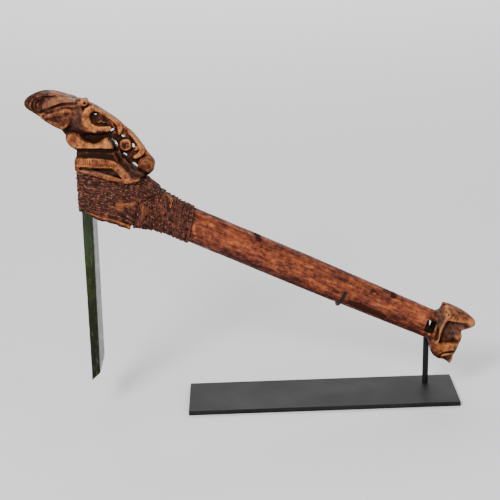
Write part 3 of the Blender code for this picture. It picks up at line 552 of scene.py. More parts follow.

# %% [markdown]
# The carving is not one colour. Hands and handling have left the raised bands a light orange, the ledge,
# the neck and the web behind the scrolls are nearly black with old dirt and painted shade, and the shaft
# between is red brown. A tone from -1, black, to 1, the lightest, is kept on every point. It is laid on in
# strokes along the same drawn lines. A stroke is a tone, a half width in millimetres and points on the
# grid.

# %% Strokes of tone, dust and sheen
# Dark strokes along the mouth, the grooves and the neck's lower edge, and dots in ring and stud centres,
# are painted shade of these cuts and holes.
FIGURE_STROKES = (
    (-0.15, 3.6, [(-60, 99), (-50, 99.4), (-38, 95.6), (-28, 90.6)]),
    (-0.8, 5, [(-78, 86), (-76, 90), (-71, 95), (-63, 98.6)]),
    (-0.75, 4.2, [(-69, 81.6), (-70.6, 87), (-67, 92.4), (-58, 95.4)]),
    (-0.3, 0.9, NESTED_LIPS[0]), (-0.3, 0.9, NESTED_LIPS[1]), (-0.3, 0.8, NESTED_LIPS[2]),
    (0.05, 3.4, UPPER_LIP), (-0.3, 2.4, LOWER_LIP),
    (-0.42, 6.5, [(-55, 75), (-47, 75), (-41, 75)]), (0, 1.8, [(-57, 77), (-49, 78.4), (-42, 79.6)]),
    (-0.05, 2.2, [(-58, 72.6), (-50, 68), (-43, 66)]), (-0.35, 2.4, [(-70, 79), (-64, 75.6), (-59, 72)]),
    (-0.85, 1, MOUTH),
    (0.05, 2.4, ring_points(-60.2, 76.8, 2)), (-0.7, 1, [(-60.2, 76.8), (-60, 76.8)]),
    (-0.42, 3.6, [(-28.6, 85), (-28.4, 76), (-30, 68), (-33, 63), (-40, 61)]),
    (-0.4, 4, [(-13, 73), (-7, 69), (0, 66)]), (-0.4, 2.4, [(4.6, 60), (1, 55), (10, 52), (20, 46)]),
    (-0.4, 3, [(20, 40), (15, 37), (22, 28), (27, 34)]),
    (0.3, 2.4, ring_points(-21.4, 86.9, 2.4)), (-0.7, 1.3, [(-21, 86.9), (-20.4, 86.6)]),
    (0.62, 3.2, SCROLL[:7]), (0.4, 2.6, SCROLL[6:]), (0, 1.2, INNER_BAND),
    (-0.25, 1.4, [(-8.5, 67), (-3.4, 68.2), (0.6, 66)]), (0.35, 2.6, COLUMN),
    (-0.3, 6, [(15.2, 45.4), (16, 45)]), (0.1, 1, ring_points(15.2, 45.4, 4.7)),
    (0.1, 0.9, ring_points(17.8, 43.5, 1.8)), (-0.05, 2.2, [(24.6, 41.2), (25, 41)]),
    (-0.15, 8, [(34.6, 26), (35, 25.6)]), (0.1, 3, [(33, 28.6), (36, 27)]),
    (-0.25, 3, [(28, 30), (27.4, 24), (30, 19)]),
    (0.2, 5, [(-35, 55), (-28, 53), (-24, 49)]), (0.45, 3.6, [(-24, 48), (-15, 45), (-6, 46), (0, 47)]),
    (-0.45, 2.6, [(5, 51), (6.4, 46), (7.6, 41)]), (-0.5, 3.4, [(-24, 56.6), (-16, 53.4), (-8, 55.6)]),
    (-0.8, 1.3, [(-40, 60.8), (-31, 60.8), (-24, 59.4), (-14, 57.8), (-3, 57.6)]),
    (-1.1, 1.4, [(-31, 43.6), (-20, 43.4), (-6, 42.6), (5, 42)]),
    (-1.05, 2.6, [(-30, 40.6), (-16, 40), (-2, 38.6), (6, 36)]),
    (-0.5, 3.2, [(8.4, 37), (12, 28), (17.6, 20.6), (26, 15.6), (31, 16)]),
    (0.18, 3, FRAME_BAND), (0.1, 2.2, FRAME_LOW), (-0.1, 1.6, [(-31.6, 36), (-31.8, 27)]),
    (-0.9, 1.2, [(-26.8, 27.9), (-12, 25.6)]),
)
# Dark strokes along the head's grooves and dots in its ring centres are painted shade.
HEAD_STROKES = (
    (-0.35, 3, [(2, 10), (5, 17), (8, 22)]), (0, 5, [(16, 15), (25, 12), (34, 7), (40, 2)]),
    (0.15, 2, [(17, 10.6), (25, 9), (33, 6), (39, 2.4)]),
    (-0.4, 1.6, [(12, 23), (15, 19), (15.6, 14)]), (0.3, 1.4, BROW_EDGE),
    (-0.35, 5, [(12, -1), (12, -9), (19, -9)]), (-0.3, 4, [(20, 1), (28, 1)]),
    (-0.1, 3.4, [(22.6, -9.4), (23, -9.8)]), (-0.4, 2.6, [(5, 9), (3.2, 2.6), (1.8, -3), (0.2, -9)]),
    (0.4, 1.2, NAPE_RIDGE), (0, 0.9, SLOT_RIDGE), (-0.4, 2.4, [(-3, 0), (-5.4, -9), (-6, -15)]),
    (0.18, 5, [(4, -19), (12, -19.4), (20, -20)]), (-0.2, 3, [(-5, -15), (-3.3, -24), (2, -29), (8, -33)]),
    (-0.7, 1.2, [(4.6, -28.6), (9.8, -25.9), (15.6, -25.5), (19.4, -26)]),
    (0.35, 1.2, [(7, -29.4), (11, -27.8), (15, -27.6)]), (0, 2, [(14, -31), (15.6, -37)]),
    (0.35, 1.4, ring_points(13.1, 14.5, 1.6)), (-0.8, 0.8, [(13.1, 14.5), (13.2, 14.4)]),
    (-0.7, 0.9, [(10.4, 17.2), (10.5, 17.1)]), (0.2, 1.2, [(8, 22.6), (12, 22)]),
    (0.2, 1.2, [(-8.6, 11), (0.4, 9.6)]), (0.3, 1.2, [(-12.6, -2.6), (-6.4, -5.4)]),
)
SHAFT_STROKES = (
    (-0.8, 0.9, [(-72, 181), (-68.6, 179.6), (-64, 176), (-59.6, 172.2), (-58, 170)]),
    (-1.3, 1.1, [(-63, 175.6), (-59.6, 172.2), (-58, 170)]), (0.6, 1, [(-60, 176), (-56, 173)]),
    (-0.8, 2.6, [(66, 114.4), (71.4, 112), (72, 107.4)]), (0.6, 1.1, [(69.4, 104.4), (73, 103)]),
    (-0.5, 1.3, [(51, 114.6), (55, 111)]), (0.6, 0.7, [(51.8, 112.6), (55, 109.8)]),
    (-0.75, 2.6, [(27.6, 104.6), (39.4, 99), (51.2, 92.8), (61, 88)]),
    (0.7, 1.3, [(-125, 197.6), (-123.2, 188), (-121, 176.6)]),
)
STRIP_STROKES = (
    (-0.2, 6, [(-224, 206), (-212, 202), (-198, 197), (-186, 192)]),
    (0.4, 0.8, [(-226, 209.6), (-213, 204), (-198, 199.4), (-188.5, 195.6), (-183, 192.2)]),
    (-0.6, 1.4, [(-219, 204), (-212, 199.6), (-204, 198), (-194, 193.6), (-186, 190)]),
)
# Tones for the hollow above the lip, under the scroll and inside it: painted shade, set after the hollows
# darken.
CAVITY_SHADE_STROKES = (
    (-0.3, 1.7, [(-65, 82.4), (-60.5, 89.2), (-55.5, 92), (-47, 93.8)]),
    (-0.7, 2.6, [(-24, 56.6), (-16, 53.4), (-8, 55.6)]),
    (-0.55, 2.2, [(-14, 70), (-8, 72), (-3, 70)]),
)
# Grey-pink film on the lip, hood, neck, frame and brow: partly dust, partly painted sheen.
DUST_AND_SHEEN_STROKES = (
    (0.5, 3.4, UPPER_LIP), (0.5, 3.6, [(-60, 99), (-50, 99.4), (-38, 95.6), (-28, 90.6)]),
    (0.35, 5, [(-28.6, 82), (-28.4, 76), (-30, 68)]), (0.5, 3, [(-24, 25), (-8, 23), (4, 22)]),
    (0.3, 3, [(12, 28), (17.6, 20.6), (26, 15.6)]),
)
HEAD_DUST_AND_SHEEN = ((0.6, 4, [(4, 18), (8, 12), (6, 4)]), (0.2, 3, [(14, 20), (22, 17), (30, 13)]),
             (0.4, 4, [(14, -2), (16, -8), (26, 0)]))


stroke_shake = noise_at(haft_points, 380, 4.4) * 1.1 * MM


def laid_on(tone, strokes, zero):
    """The tone with strokes painted over it. Noise shakes their edges."""
    for value, width, points in strokes:
        gap, _ = distance_to_line(haft_points[:, [0, 2]], drawn(zero, points))
        share = step_between(gap + stroke_shake, width * 1.4 * MM, width * 0.6 * MM)
        tone = tone * (1 - share) + value * share
    return tone


print("strokes:", len(FIGURE_STROKES), "on the figure,", len(HEAD_STROKES), "on the butt head")

# %% [markdown]
# The measured hollows and ridges then darken and lighten the strokes; the darkening of the hollows is
# old dirt and painted shade. The notches are darker, the undersides of the bands get painted shade, and
# the inside of the slot is painted near black as shade. The cuts on the shaft are on both sides, but
# their dark tone and the stains are on the front only. Where a winding covers the wood, the tone is even.

# %% Tone of the wood
x, z = haft_points[:, 0], haft_points[:, 2]
COLLAR_END, BUTT_END = (-0.135, -0.125), (0.112, 0.104)
FRONT_HALF, SLOT_REACH = (7 * MM, 3 * MM), 12 * MM
HOLLOW_DIRT_AND_SHADE, NOTCH_DARKENING, UNDERSIDE_SHADE, RIDGE_WEAR = 0.75, 0.2, 0.4, 0.4
on_shaft = step_between(x, *COLLAR_END) * step_between(x, *BUTT_END)
HALF_DEPTH = 16 * MM
above_axis = (z - SHAFT_HEIGHT + x * math.tan(SHAFT_SLOPE)) * math.cos(SHAFT_SLOPE) / HALF_DEPTH
# The shaft's tone by height from its axis, in half depths: darker towards the lower edge, partly stain and
# partly painted shade
SHAFT_BANDS = ((-1.2, -0.6), (-1, -0.4), (-0.7, -0.28), (-0.35, 0), (0, 0.15), (0.2, 0.2), (0.68, 0.14),
               (1, 0.1), (1.15, 0))
band_tone = np.interp(above_axis, *zip(*SHAFT_BANDS))
tone = on_shaft * band_tone
tone = laid_on(tone, FIGURE_STROKES, FIGURE_ZERO)
tone = laid_on(tone, HEAD_STROKES, HEAD_ZERO)
toward_front = step_between(haft_points[:, 1], *FRONT_HALF)
tone = tone + toward_front * (laid_on(tone, SHAFT_STROKES, (0, 0)) - tone)
# Closed-in places darken: old dirt, and painted shade of the hollows.
tone -= HOLLOW_DIRT_AND_SHADE * step_between(hollow, 0.25, 0.8)
tone += RIDGE_WEAR * ridge * (1 - on_shaft)
# The notches are darker.
for points, reach, spacing, _, slant in NOTCHED:
    line = drawn(FIGURE_ZERO, points)
    tone -= notches(haft_points, line, reach * MM, spacing * MM, NOTCH_DARKENING, slant)
# Undersides of the carving are darker: painted shade.
underside = step_between(-haft_normals[:, 2], 0, 0.8) * (1 - on_shaft)
tone -= UNDERSIDE_SHADE * underside
tone = laid_on(tone, CAVITY_SHADE_STROKES, FIGURE_ZERO)
# The inside of the slot is painted near black: painted shade.
SLOT_SHADE_STROKE = ((-1.2, 7.5, [(-6, 3.4), (-5, 3)]),)
in_slot = np.abs(haft_points[:, 1]) < SLOT_REACH
tone = np.where(in_slot, laid_on(tone, SLOT_SHADE_STROKE, HEAD_ZERO), tone)
covers = [BVHTree.FromBMesh(merged_copy(node)) for node in ("blade_lashing", "neck_binding")]
COVER_GAP, COVERED_TONE = 0.9 * MM, -0.2
covered = np.array([any(tree.find_nearest(Vector(point), COVER_GAP)[0] for tree in covers)
                    for point in haft_points])
tone = np.where(covered, COVERED_TONE, tone)
on_strip = laid_on(np.zeros(len(x)), [(1, 6, STRIP_STROKES[0][2])], (0, 0)) > 0.5
tone = np.where(on_strip, laid_on(tone, STRIP_STROKES, (0, 0)), tone)
dust_and_sheen = laid_on(np.zeros(len(x)), DUST_AND_SHEEN_STROKES, FIGURE_ZERO)
dust_and_sheen = laid_on(dust_and_sheen, HEAD_DUST_AND_SHEEN, HEAD_ZERO)
float_attribute(haft.data, "tone", np.clip(tone, -1.2, 1.2))
float_attribute(haft.data, "dust_and_sheen", smoothed(dust_and_sheen[:, None], haft_edges, 6)[:, 0])
float_attribute(haft.data, "shaft", on_shaft)
shade_smooth(haft.data)
print("tone mean %.2f, covered points %d" % (tone.mean(), covered.sum()))

# %% [markdown]
# Each finish is a material of nodes. A material needs many of them, so one small class adds a node,
# fills its sockets and links it. The patterns lie in the object's own coordinates and keep their size.

# %% Nodes in short
class Nodes:
    """Adds nodes to one material and links them by name."""

    def __init__(self, name):
        self.material = bpy.data.materials.new(name)
        self.material.use_nodes = True
        self.tree = self.material.node_tree
        self.shader = self.tree.nodes["Principled BSDF"]
        self.column = 0

    def add(self, kind, settings=None, **inputs):
        node = self.tree.nodes.new("ShaderNode" + kind)
        self.column += 1
        node.location = (-1800 + 170 * (self.column % 10), 400 - 260 * (self.column // 10))
        for key, value in (settings or {}).items():
            setattr(node, key, value)
        for key, value in inputs.items():
            self.put(node, key, value)
        return node

    def put(self, node, key, value):
        names = {"A": 0, "B": 1, "C": 2}
        socket = node.inputs[names[key]] if key in names and node.bl_idname == "ShaderNodeMath" \
            else node.inputs[key.replace("_", " ")]
        if isinstance(value, bpy.types.NodeSocket):
            self.tree.links.new(value, socket)
        else:
            socket.default_value = value

    def attribute(self, name):
        return self.add("Attribute", {"attribute_name": name}).outputs["Fac"]

    def place(self, scale=(1, 1, 1), turn=(0, 0, 0)):
        coordinates = self.add("TexCoord").outputs["Object"]
        return self.add("Mapping", Vector=coordinates, Rotation=turn, Scale=scale).outputs["Vector"]

    def noise(self, vector, scale, detail=3.0, roughness=0.55):
        return self.add("TexNoise", Vector=vector, Scale=scale, Detail=detail,
                        Roughness=roughness).outputs["Fac"]

    def remap(self, value, low, high, to_low=0.0, to_high=1.0):
        node = self.add("MapRange", {"interpolation_type": "SMOOTHSTEP"}, Value=value)
        for key, number in (("From Min", low), ("From Max", high), ("To Min", to_low),
                            ("To Max", to_high)):
            node.inputs[key].default_value = number
        return node.outputs["Result"]

    def math(self, operation, a, b=0.0):
        return self.add("Math", {"operation": operation}, A=a, B=b).outputs["Value"]

    def mix(self, share, first, second, blend="MIX"):
        node = self.add("Mix", {"data_type": "RGBA", "blend_type": blend})
        for index, value in ((0, share), (6, first), (7, second)):
            if isinstance(value, bpy.types.NodeSocket):
                self.tree.links.new(value, node.inputs[index])
            elif index:
                node.inputs[index].default_value = (*value, 1)
            else:
                node.inputs[index].default_value = value
        return node.outputs[2]

    def ramp(self, share, stops):
        """A colour ramp. A stop is (place, colour)."""
        node = self.add("ValToRGB", Fac=share)
        elements = node.color_ramp.elements
        while len(elements) < len(stops):
            elements.new(0.5)
        for element, (place, colour) in zip(elements, stops):
            element.position = place
            element.color = (*colour, 1)
        return node.outputs["Color"]

    def bump(self, height, strength, distance):
        node = self.add("Bump", Height=height)
        node.inputs["Strength"].default_value = strength
        node.inputs["Distance"].default_value = distance
        self.tree.links.new(node.outputs["Normal"], self.shader.inputs["Normal"])

    def colour(self, socket):
        self.tree.links.new(socket, self.shader.inputs["Base Color"])

    def roughness(self, socket):
        self.tree.links.new(socket, self.shader.inputs["Roughness"])

    def cover(self, thing):
        thing.data.materials.clear()
        thing.data.materials.append(self.material)


print("node helper ready")

# %% [markdown]
# The wood is one material. Its base is a warm orange tan where hands rubbed it, a red brown along the
# shaft, and nearly black in the hollows, from old dirt and painted shade. Long thin noise along the shaft
# gives the grain, small dark flecks sit in the open pores, and both drive a slight bump. Rubbed wood is
# smoother and a little glossier than dirty or shaded wood.

# %% Old carved wood
wood = Nodes("old carved wood")
tone_in = wood.attribute("tone")
shaft_in = wood.attribute("shaft")
dust_and_sheen_in = wood.attribute("dust_and_sheen")


def along_grain(coarse, fine):
    """Places stretched along the shaft, for noise that is long in one direction."""
    turned = wood.place((1, 1, 1), (0, -SHAFT_SLOPE, 0))
    return wood.add("Mapping", Vector=turned, Scale=(coarse, fine, fine)).outputs["Vector"]


grain = wood.noise(along_grain(90, 620), 1.0, 4.0, 0.62)
streaks = wood.noise(along_grain(26, 190), 1.0, 3.0)
clouds = wood.noise(wood.place(), 55, 3.0)
patches = wood.noise(wood.place(), 210, 3.0)
flecks = wood.noise(along_grain(330, 1100), 1.0, 2.0, 0.6)


def swing(value, amount):
    """Noise turned into a shift of the tone, up to the amount either way."""
    return wood.remap(value, 0.28, 0.72, -amount, amount)


on_carving = wood.remap(shaft_in, 0, 1, 1, 0.75)
shifts = [wood.math("MULTIPLY", on_carving, swing(clouds, 0.25)),
          wood.math("MULTIPLY", on_carving, swing(patches, 0.3)),
          wood.math("MULTIPLY", on_carving, wood.remap(flecks, 0.54, 0.72, 0, -0.5)),
          wood.math("MULTIPLY", shaft_in, swing(grain, 0.3)),
          wood.math("MULTIPLY", shaft_in, swing(streaks, 0.2))]
level = tone_in
for shift in shifts:
    level = wood.math("ADD", level, shift)
WOOD_TONES = ((0, (0.016, 0.007, 0.004)), (0.2, (0.036, 0.0115, 0.006)), (0.38, (0.07, 0.019, 0.008)),
              (0.54, (0.12, 0.032, 0.0095)), (0.7, (0.185, 0.053, 0.013)),
              (0.85, (0.28, 0.093, 0.023)), (1, (0.4, 0.16, 0.05)))
tanned = wood.ramp(wood.remap(level, -1, 1), WOOD_TONES)
reddened = wood.mix(0.8, tanned, (1.0, 0.7, 0.9), "MULTIPLY")
reddened = wood.mix(1.0, reddened, (0.03, 0.0078, 0.0036), "LIGHTEN")
# Grey-pink dust and painted sheen over the carving.
dusted_and_sheened = wood.mix(wood.math("MULTIPLY", dust_and_sheen_in, wood.remap(patches, 0.35, 0.6, 0.3, 0.9)),
                 tanned, (0.15, 0.075, 0.055))
wood.colour(wood.mix(shaft_in, dusted_and_sheened, reddened))
wood.roughness(wood.remap(level, -0.8, 0.5, 0.75, 0.4))
gloss = wood.math("ADD", wood.remap(level, -0.8, 0.2, 0.04, 0.18), wood.math("MULTIPLY", shaft_in, 0.03))
wood.tree.links.new(gloss, wood.shader.inputs["Specular IOR Level"])
height = wood.math("ADD", wood.math("MULTIPLY", grain, 0.7), wood.math("MULTIPLY", flecks, -0.5))
wood.bump(height, 0.4, 0.3 * MM)
wood.cover(haft)
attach(haft, "root")
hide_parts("haft")
print("wood has", len(wood.tree.nodes), "nodes")

# %% [markdown]
# The blade is greenstone, ground flat and polished. Its edges have small chips from use, and its faces
# are not perfectly flat. The solid is remeshed, so that chips and waves can be real dents.

# %% Blade
BLADE_VOXEL = 0.65 * MM
CHIP_DEPTH, WAVE_DEPTH = 0.7 * MM, 0.12 * MM
blade = remeshed(merged_copy("blade"), "stone_blade", BLADE_VOXEL)
blade_points = points_of(blade.data)
blade_edges = edges_of(blade.data)
blade_points = smoothed(blade_points, blade_edges, 1)
set_points(blade.data, blade_points)
blade_normals = normals_of(blade.data)
blade_wide = smoothed(blade_points, blade_edges, 12)
corner = np.clip(np.einsum("ij,ij->i", blade_points - blade_wide, blade_normals) / (0.4 * MM), 0, 1)
chips = step_between(noise_at(blade_points, 120, 7.7), 0.22, 0.42) * corner
waves = noise_at(blade_points, 24, 1.9) * WAVE_DEPTH
blade_points = blade_points - blade_normals * (chips * CHIP_DEPTH + waves)[:, None]
set_points(blade.data, blade_points)
float_attribute(blade.data, "corner", corner)
shade_smooth(blade.data)
print("blade:", len(blade_points), "points")

# %% [markdown]
# The stone is dark green with darker veins and paler mottling, specks and fine scratches. Its colour is
# given by height, darkest at the ground edge and lightest a little below the lashing. The corners are
# paler. Its polish comes from low roughness.

# %% Greenstone
stone = Nodes("greenstone polished")
veins = stone.noise(stone.place((60, 60, 22), (0.1, 0.35, 0.2)), 1.3, 5.0, 0.62)
mottle = stone.noise(stone.place(), 160, 4.0, 0.6)
specks = stone.noise(stone.place(), 520, 2.0)
scratches = stone.noise(stone.place((700, 700, 60), (0.3, 0, 0.4)), 1.0, 2.0)
low_to_high = stone.add("SeparateXYZ", Vector=stone.place()).outputs["Z"]
height_in = stone.math("ADD", low_to_high, stone.remap(veins, 0.3, 0.7, -0.02, 0.02))
STONE_BANDS = ((0, (0.005, 0.007, 0.0015)), (0.3, (0.007, 0.0095, 0.002)), (0.5, (0.01, 0.014, 0.003)),
               (0.68, (0.022, 0.034, 0.003)), (0.8, (0.022, 0.034, 0.006)), (1, (0.018, 0.03, 0.014)))
bands = stone.ramp(stone.remap(height_in, 0.04, 0.21), STONE_BANDS)
green = stone.mix(stone.remap(veins, 0.38, 0.62, 0.7, 0), bands, (0.007, 0.008, 0.004))
green = stone.mix(stone.remap(mottle, 0.52, 0.74, 0, 0.6), green, (0.03, 0.042, 0.01))
green = stone.mix(stone.remap(specks, 0.62, 0.75, 0, 0.4), green, (0.06, 0.07, 0.03))
green = stone.mix(stone.remap(scratches, 0.62, 0.72, 0, 0.35), green, (0.12, 0.13, 0.09))
corner_in = stone.attribute("corner")
green = stone.mix(stone.remap(corner_in, 0.5, 1.0, 0, 0.25), green, (0.07, 0.085, 0.04))
stone.colour(green)
stone.roughness(stone.remap(mottle, 0.3, 0.7, 0.2, 0.34))
stone.shader.inputs["Specular IOR Level"].default_value = 0.12
stone.bump(mottle, 0.15, 0.2 * MM)
stone.cover(blade)
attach(blade, "root")
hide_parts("blade")
print("stone has", len(stone.tree.nodes), "nodes")

# %% [markdown]
# On the front the lashing has worn through in a few places, and the wood of the foot shows between the
# broken turns. The same has happened at one place on the far side. Round such a place the cords are
# rubbed and lighter.

# %% Worn places of the lashing
FRONT_WEAR = ((((-0.1945, 0.2152), (-0.179, 0.2146)), 2.2 * MM),
              (((-0.2005, 0.2128), (-0.1895, 0.209)), 1.1 * MM),
              (((-0.1704, 0.2126), (-0.172, 0.1996)), 1.1 * MM),
              (((-0.1666, 0.2104), (-0.1669, 0.2045)), 0.9 * MM),
              (((-0.1468, 0.218), (-0.1437, 0.2156)), 2.2 * MM))
BACK_WEAR = ((((-0.205, 0.211), (-0.194, 0.209)), 2.2 * MM),)
KNOT_HOLE = [(-0.1462, 0.2147), (-0.1457, 0.2057)]
KNOT_HOLE_HALF = 1 * MM


def gap_to(place, line):
    return distance_to_line(np.array([[place[0], place[2]]]), line)[0][0]


def wear_at(place, shift=0.0):
    """Above zero where the cords are worn through."""
    spots = BACK_WEAR if place[1] > 0 else FRONT_WEAR
    best = -2.0
    for line, reach in spots:
        gap = gap_to(place, line)
        ragged = 1 + 0.9 * noise.noise(Vector(place) * 260 + Vector((0, 0, shift)))
        best = max(best, 1 - gap / (reach * ragged))
    return best


print("worn places:", len(FRONT_WEAR) + len(BACK_WEAR))

# %% [markdown]
# The lashing is a long cord of two twisted plies, wound round foot and blade in level turns. On the
# model each turn is a contour line: a height is given to every point of the sleeve, tilted so that the
# lowest turns run along the foot's lower edge and the last ones fall with the heel. Where that height
# has a round value, a cord is laid. The sleeve itself is the wound solid, remeshed and smoothed.

# %% Sleeve and contour lines
SLEEVE_VOXEL = 0.75 * MM


def sleeve_of(node, name):
    """A dense copy of the wound solid, and which of its points lie on the outside."""
    edit = merged_copy(node)
    thing = remeshed(edit, name, SLEEVE_VOXEL)
    mesh = thing.data
    points = smoothed(points_of(mesh), edges_of(mesh), 3)
    set_points(mesh, points)
    tree = tree_of(mesh)
    normals = normals_of(mesh)
    outside = np.array([tree.ray_cast(Vector(p) + Vector(n) * 0.2 * MM, Vector(n), 0.2)[0] is None
                        for p, n in zip(points, normals)])
    return thing, tree, outside


def contours(mesh, values, wanted, level):
    """Lines where the values cross the level, over the wanted faces only."""
    mesh.calc_loop_triangles()
    corners = np.empty(len(mesh.loop_triangles) * 3, dtype=np.int64)
    mesh.loop_triangles.foreach_get("vertices", corners)
    corners = corners.reshape(-1, 3)
    corners = corners[wanted[corners].all(axis=1)]
    above = values[corners] > level
    corners = corners[above.any(axis=1) & ~above.all(axis=1)]
    points = points_of(mesh)
    links, places = {}, {}
    for triangle in corners.tolist():
        crossed = []
        for a, b in ((0, 1), (1, 2), (2, 0)):
            first, second = sorted((triangle[a], triangle[b]))
            if (values[first] > level) != (values[second] > level):
                share = (level - values[first]) / (values[second] - values[first])
                places[(first, second)] = points[first] + share * (points[second] - points[first])
                crossed.append((first, second))
        if len(crossed) == 2:
            links.setdefault(crossed[0], []).append(crossed[1])
            links.setdefault(crossed[1], []).append(crossed[0])
    lines, used = [], set()
    starts = sorted(key for key, ends in links.items() if len(ends) == 1) + sorted(links)
    for start in starts:
        if start in used:
            continue
        chain = [start]
        used.add(start)
        while True:
            onward = [key for key in links[chain[-1]] if key not in used]
            if not onward:
                break
            chain.append(onward[0])
            used.add(onward[0])
        closed = len(chain) > 8 and chain[0] in links[chain[-1]]
        lines.append((np.array([places[key] for key in chain]), closed))
    return lines


def evenly(line, closed, step):
    if closed:
        line = np.vstack([line, line[:1]])
    lengths = np.r_[0, np.cumsum(np.linalg.norm(np.diff(line, axis=0), axis=1))]
    count = max(int(lengths[-1] / step), 2)
    wanted = np.linspace(0, lengths[-1], count + 1)
    even = np.array([np.interp(wanted, lengths, line[:, axis]) for axis in range(3)]).T
    return even[:-1] if closed else even


print("sleeve voxel", SLEEVE_VOXEL / MM, "mm")

# %% [markdown]
# The cord's section has two lobes and is turned along the way, which makes the twist. It could be
# modelled strand by strand, but a bevelled curve with a tilt on each point gives the same look for far
# fewer faces. Old cord is uneven, so each turn wanders, varies in thickness and has its own twist. Where
# it is worn through, the run is broken and its ends are thin.

# %% Cords on a sleeve
TWIST_LENGTH, CORD_STEP = 7.4, 0.86
LOBES = (1, 0.9, 0.68, 0.9, 1, 0.9, 0.68, 0.9)
SHORTEST_LINE, SHORTEST_RUN = 8, 6


def empty_cord(name, size):
    """A curve without points that has the cord's section, and the section."""
    profile_data = bpy.data.curves.new("cord section", "CURVE")
    profile = profile_data.splines.new("POLY")
    profile.points.add(len(LOBES) - 1)
    for index, (point, lobe) in enumerate(zip(profile.points, LOBES)):
        angle = 2 * math.pi * index / len(LOBES)
        reach = size * lobe
        point.co = (reach * math.cos(angle), reach * math.sin(angle), 0, 1)
    profile.use_cyclic_u = True
    section = new_object("cord section", profile_data)
    curve = bpy.data.curves.new(name, "CURVE")
    curve.dimensions = "3D"
    curve.bevel_mode = "OBJECT"
    curve.bevel_object = section
    curve.use_fill_caps = True
    return curve, section


def runs_of(line, tree, bare, depth, size, shift):
    """The line laid on the sleeve, as one run or more where it is worn through."""
    runs = [[]]
    for index, place in enumerate(line):
        if bare(place, shift):
            runs.append([])
            continue
        spot, normal, _, _ = tree.find_nearest(Vector(place))
        lift = noise.noise(Vector((index * 0.09, shift, 0))) * 0.85 * size
        wander = noise.noise(Vector((index * 0.07, 0, shift))) * 1.6 * size
        runs[-1].append(spot + normal * (lift - depth) + Vector((0, 0, wander)))
    return runs


def lay_run(curve, run, closed, size, dice):
    """One run of cord. It gives back the run's own tone."""
    cord_step = CORD_STEP * size
    spline = curve.splines.new("POLY")
    spline.points.add(len(run) - 1)
    spline.use_cyclic_u = closed
    own_twist = TWIST_LENGTH * size * dice.uniform(0.75, 1.3)
    turns = max(round(len(run) * cord_step / own_twist * 2), 1) / 2
    thick = dice.uniform(0.86, 1.06)
    for index, (point, place) in enumerate(zip(spline.points, run)):
        point.co = (*place, 1)
        point.tilt = 2 * math.pi * turns * index / len(run)
        end = min(index, len(run) - 1 - index)
        uneven = thick * (1 + 0.34 * noise.noise(place * 380))
        point.radius = uneven if closed else uneven * min(1, 0.6 + 0.2 * end)
    return dice.random()


def lay_cords(name, sleeve, tree, layers, bare, seed, size):
    """Twisted cords along contours. A layer is (values, levels, wanted points, depth below surface).
    Size is the cord's radius, and the steps along it and the twist's length are multiples of it."""
    dice = random.Random(seed)
    curve, section = empty_cord(name, size)
    tones = []
    for values, levels, wanted, depth in layers:
        for level in levels:
            for line, closed in contours(sleeve.data, values, wanted, level):
                line = evenly(line, closed, CORD_STEP * size)
                if len(line) < SHORTEST_LINE:
                    continue
                runs = runs_of(line, tree, bare, depth, size, dice.uniform(0, 50))
                closed = closed and len(runs) == 1
                for run in runs:
                    if len(run) >= SHORTEST_RUN:
                        tone = lay_run(curve, run, closed, size, dice)
                        tones += [(place, tone) for place in run]
    cords = applied(new_object(name, curve), name)
    bpy.data.objects.remove(section)
    edit = bmesh.new()
    edit.from_mesh(cords.data)
    bmesh.ops.remove_doubles(edit, verts=edit.verts, dist=0.001 * MM)
    edit.to_mesh(cords.data)
    edit.free()
    middles = kdtree.KDTree(len(tones))
    for index, (place, _) in enumerate(tones):
        middles.insert(place, index)
    middles.balance()
    found = [middles.find(vertex.co) for vertex in cords.data.vertices]
    lobe = np.clip((np.array([gap for *_, gap in found]) / (size * 1.05) - 0.5) / 0.5, 0, 1)
    return cords, lobe, np.array([tones[index][1] for _, index, _ in found])


print("cord section with", len(LOBES), "corners")

# %% [markdown]
# Cords and sleeve become one mesh. The sleeve sinks, so that it shows only between two turns, where it
# is coloured dark as painted shade, and at a worn place it sinks further and stands for the bare wood.

# %% Joining cords and sleeve
SINK, BARE_SINK = 0.75, 0.35


def join_winding(sleeve, laid, outside, bare_share, name):
    """Sleeve and cords in one mesh. The sleeve sinks under the cords, most where it is bare."""
    points = points_of(sleeve.data)
    sunk = outside * (SINK + BARE_SINK * bare_share)
    points = points - normals_of(sleeve.data) * sunk[:, None] * MM
    set_points(sleeve.data, points)
    cords, lobe, tones = laid
    worn = np.array([step_between(wear_at(point), -1.1, 0.1) for point in points_of(cords.data)])
    edit = bmesh.new()
    edit.from_mesh(sleeve.data)
    edit.from_mesh(cords.data)
    joined = store(edit, name)
    zeros = np.zeros(len(points))
    # The sleeve's 0.3 puts it in the dark of the ply groove: painted shade between the turns.
    float_attribute(joined.data, "lobe", np.r_[zeros + 0.3, lobe])
    float_attribute(joined.data, "tone", np.r_[zeros + 0.3, tones])
    float_attribute(joined.data, "bare", np.r_[bare_share, 0.75 * worn])
    shade_smooth(joined.data)
    bpy.data.objects.remove(sleeve)
    bpy.data.objects.remove(cords)
    return joined


print("sleeve sinks", SINK, "mm, and", SINK + BARE_SINK, "mm where it is bare")

# %% [markdown]
# The first winding holds the blade in the seat of the foot. Its lowest turns slope along the foot's
# lower edge, the upper ones are nearly level, and all fall over the heel, where a few more cords lie
# lengthwise on top.

# %% Lashing of foot and blade
FOOT_LOW, FOOT_RISE = 0.192, 0.048
LOW_SLOPE, SLOPE_LOSS, HEEL_SLOPE = 0.33, 0.27, 0.42
HEEL_PLACE, HEEL_BEND, TOE_PLACE = -0.184, 0.006, -0.228


def is_bare(place, shift):
    in_hole = place[1] < 0 and gap_to(place, KNOT_HOLE) < KNOT_HOLE_HALF
    return wear_at(place, shift) > 0 or in_hole


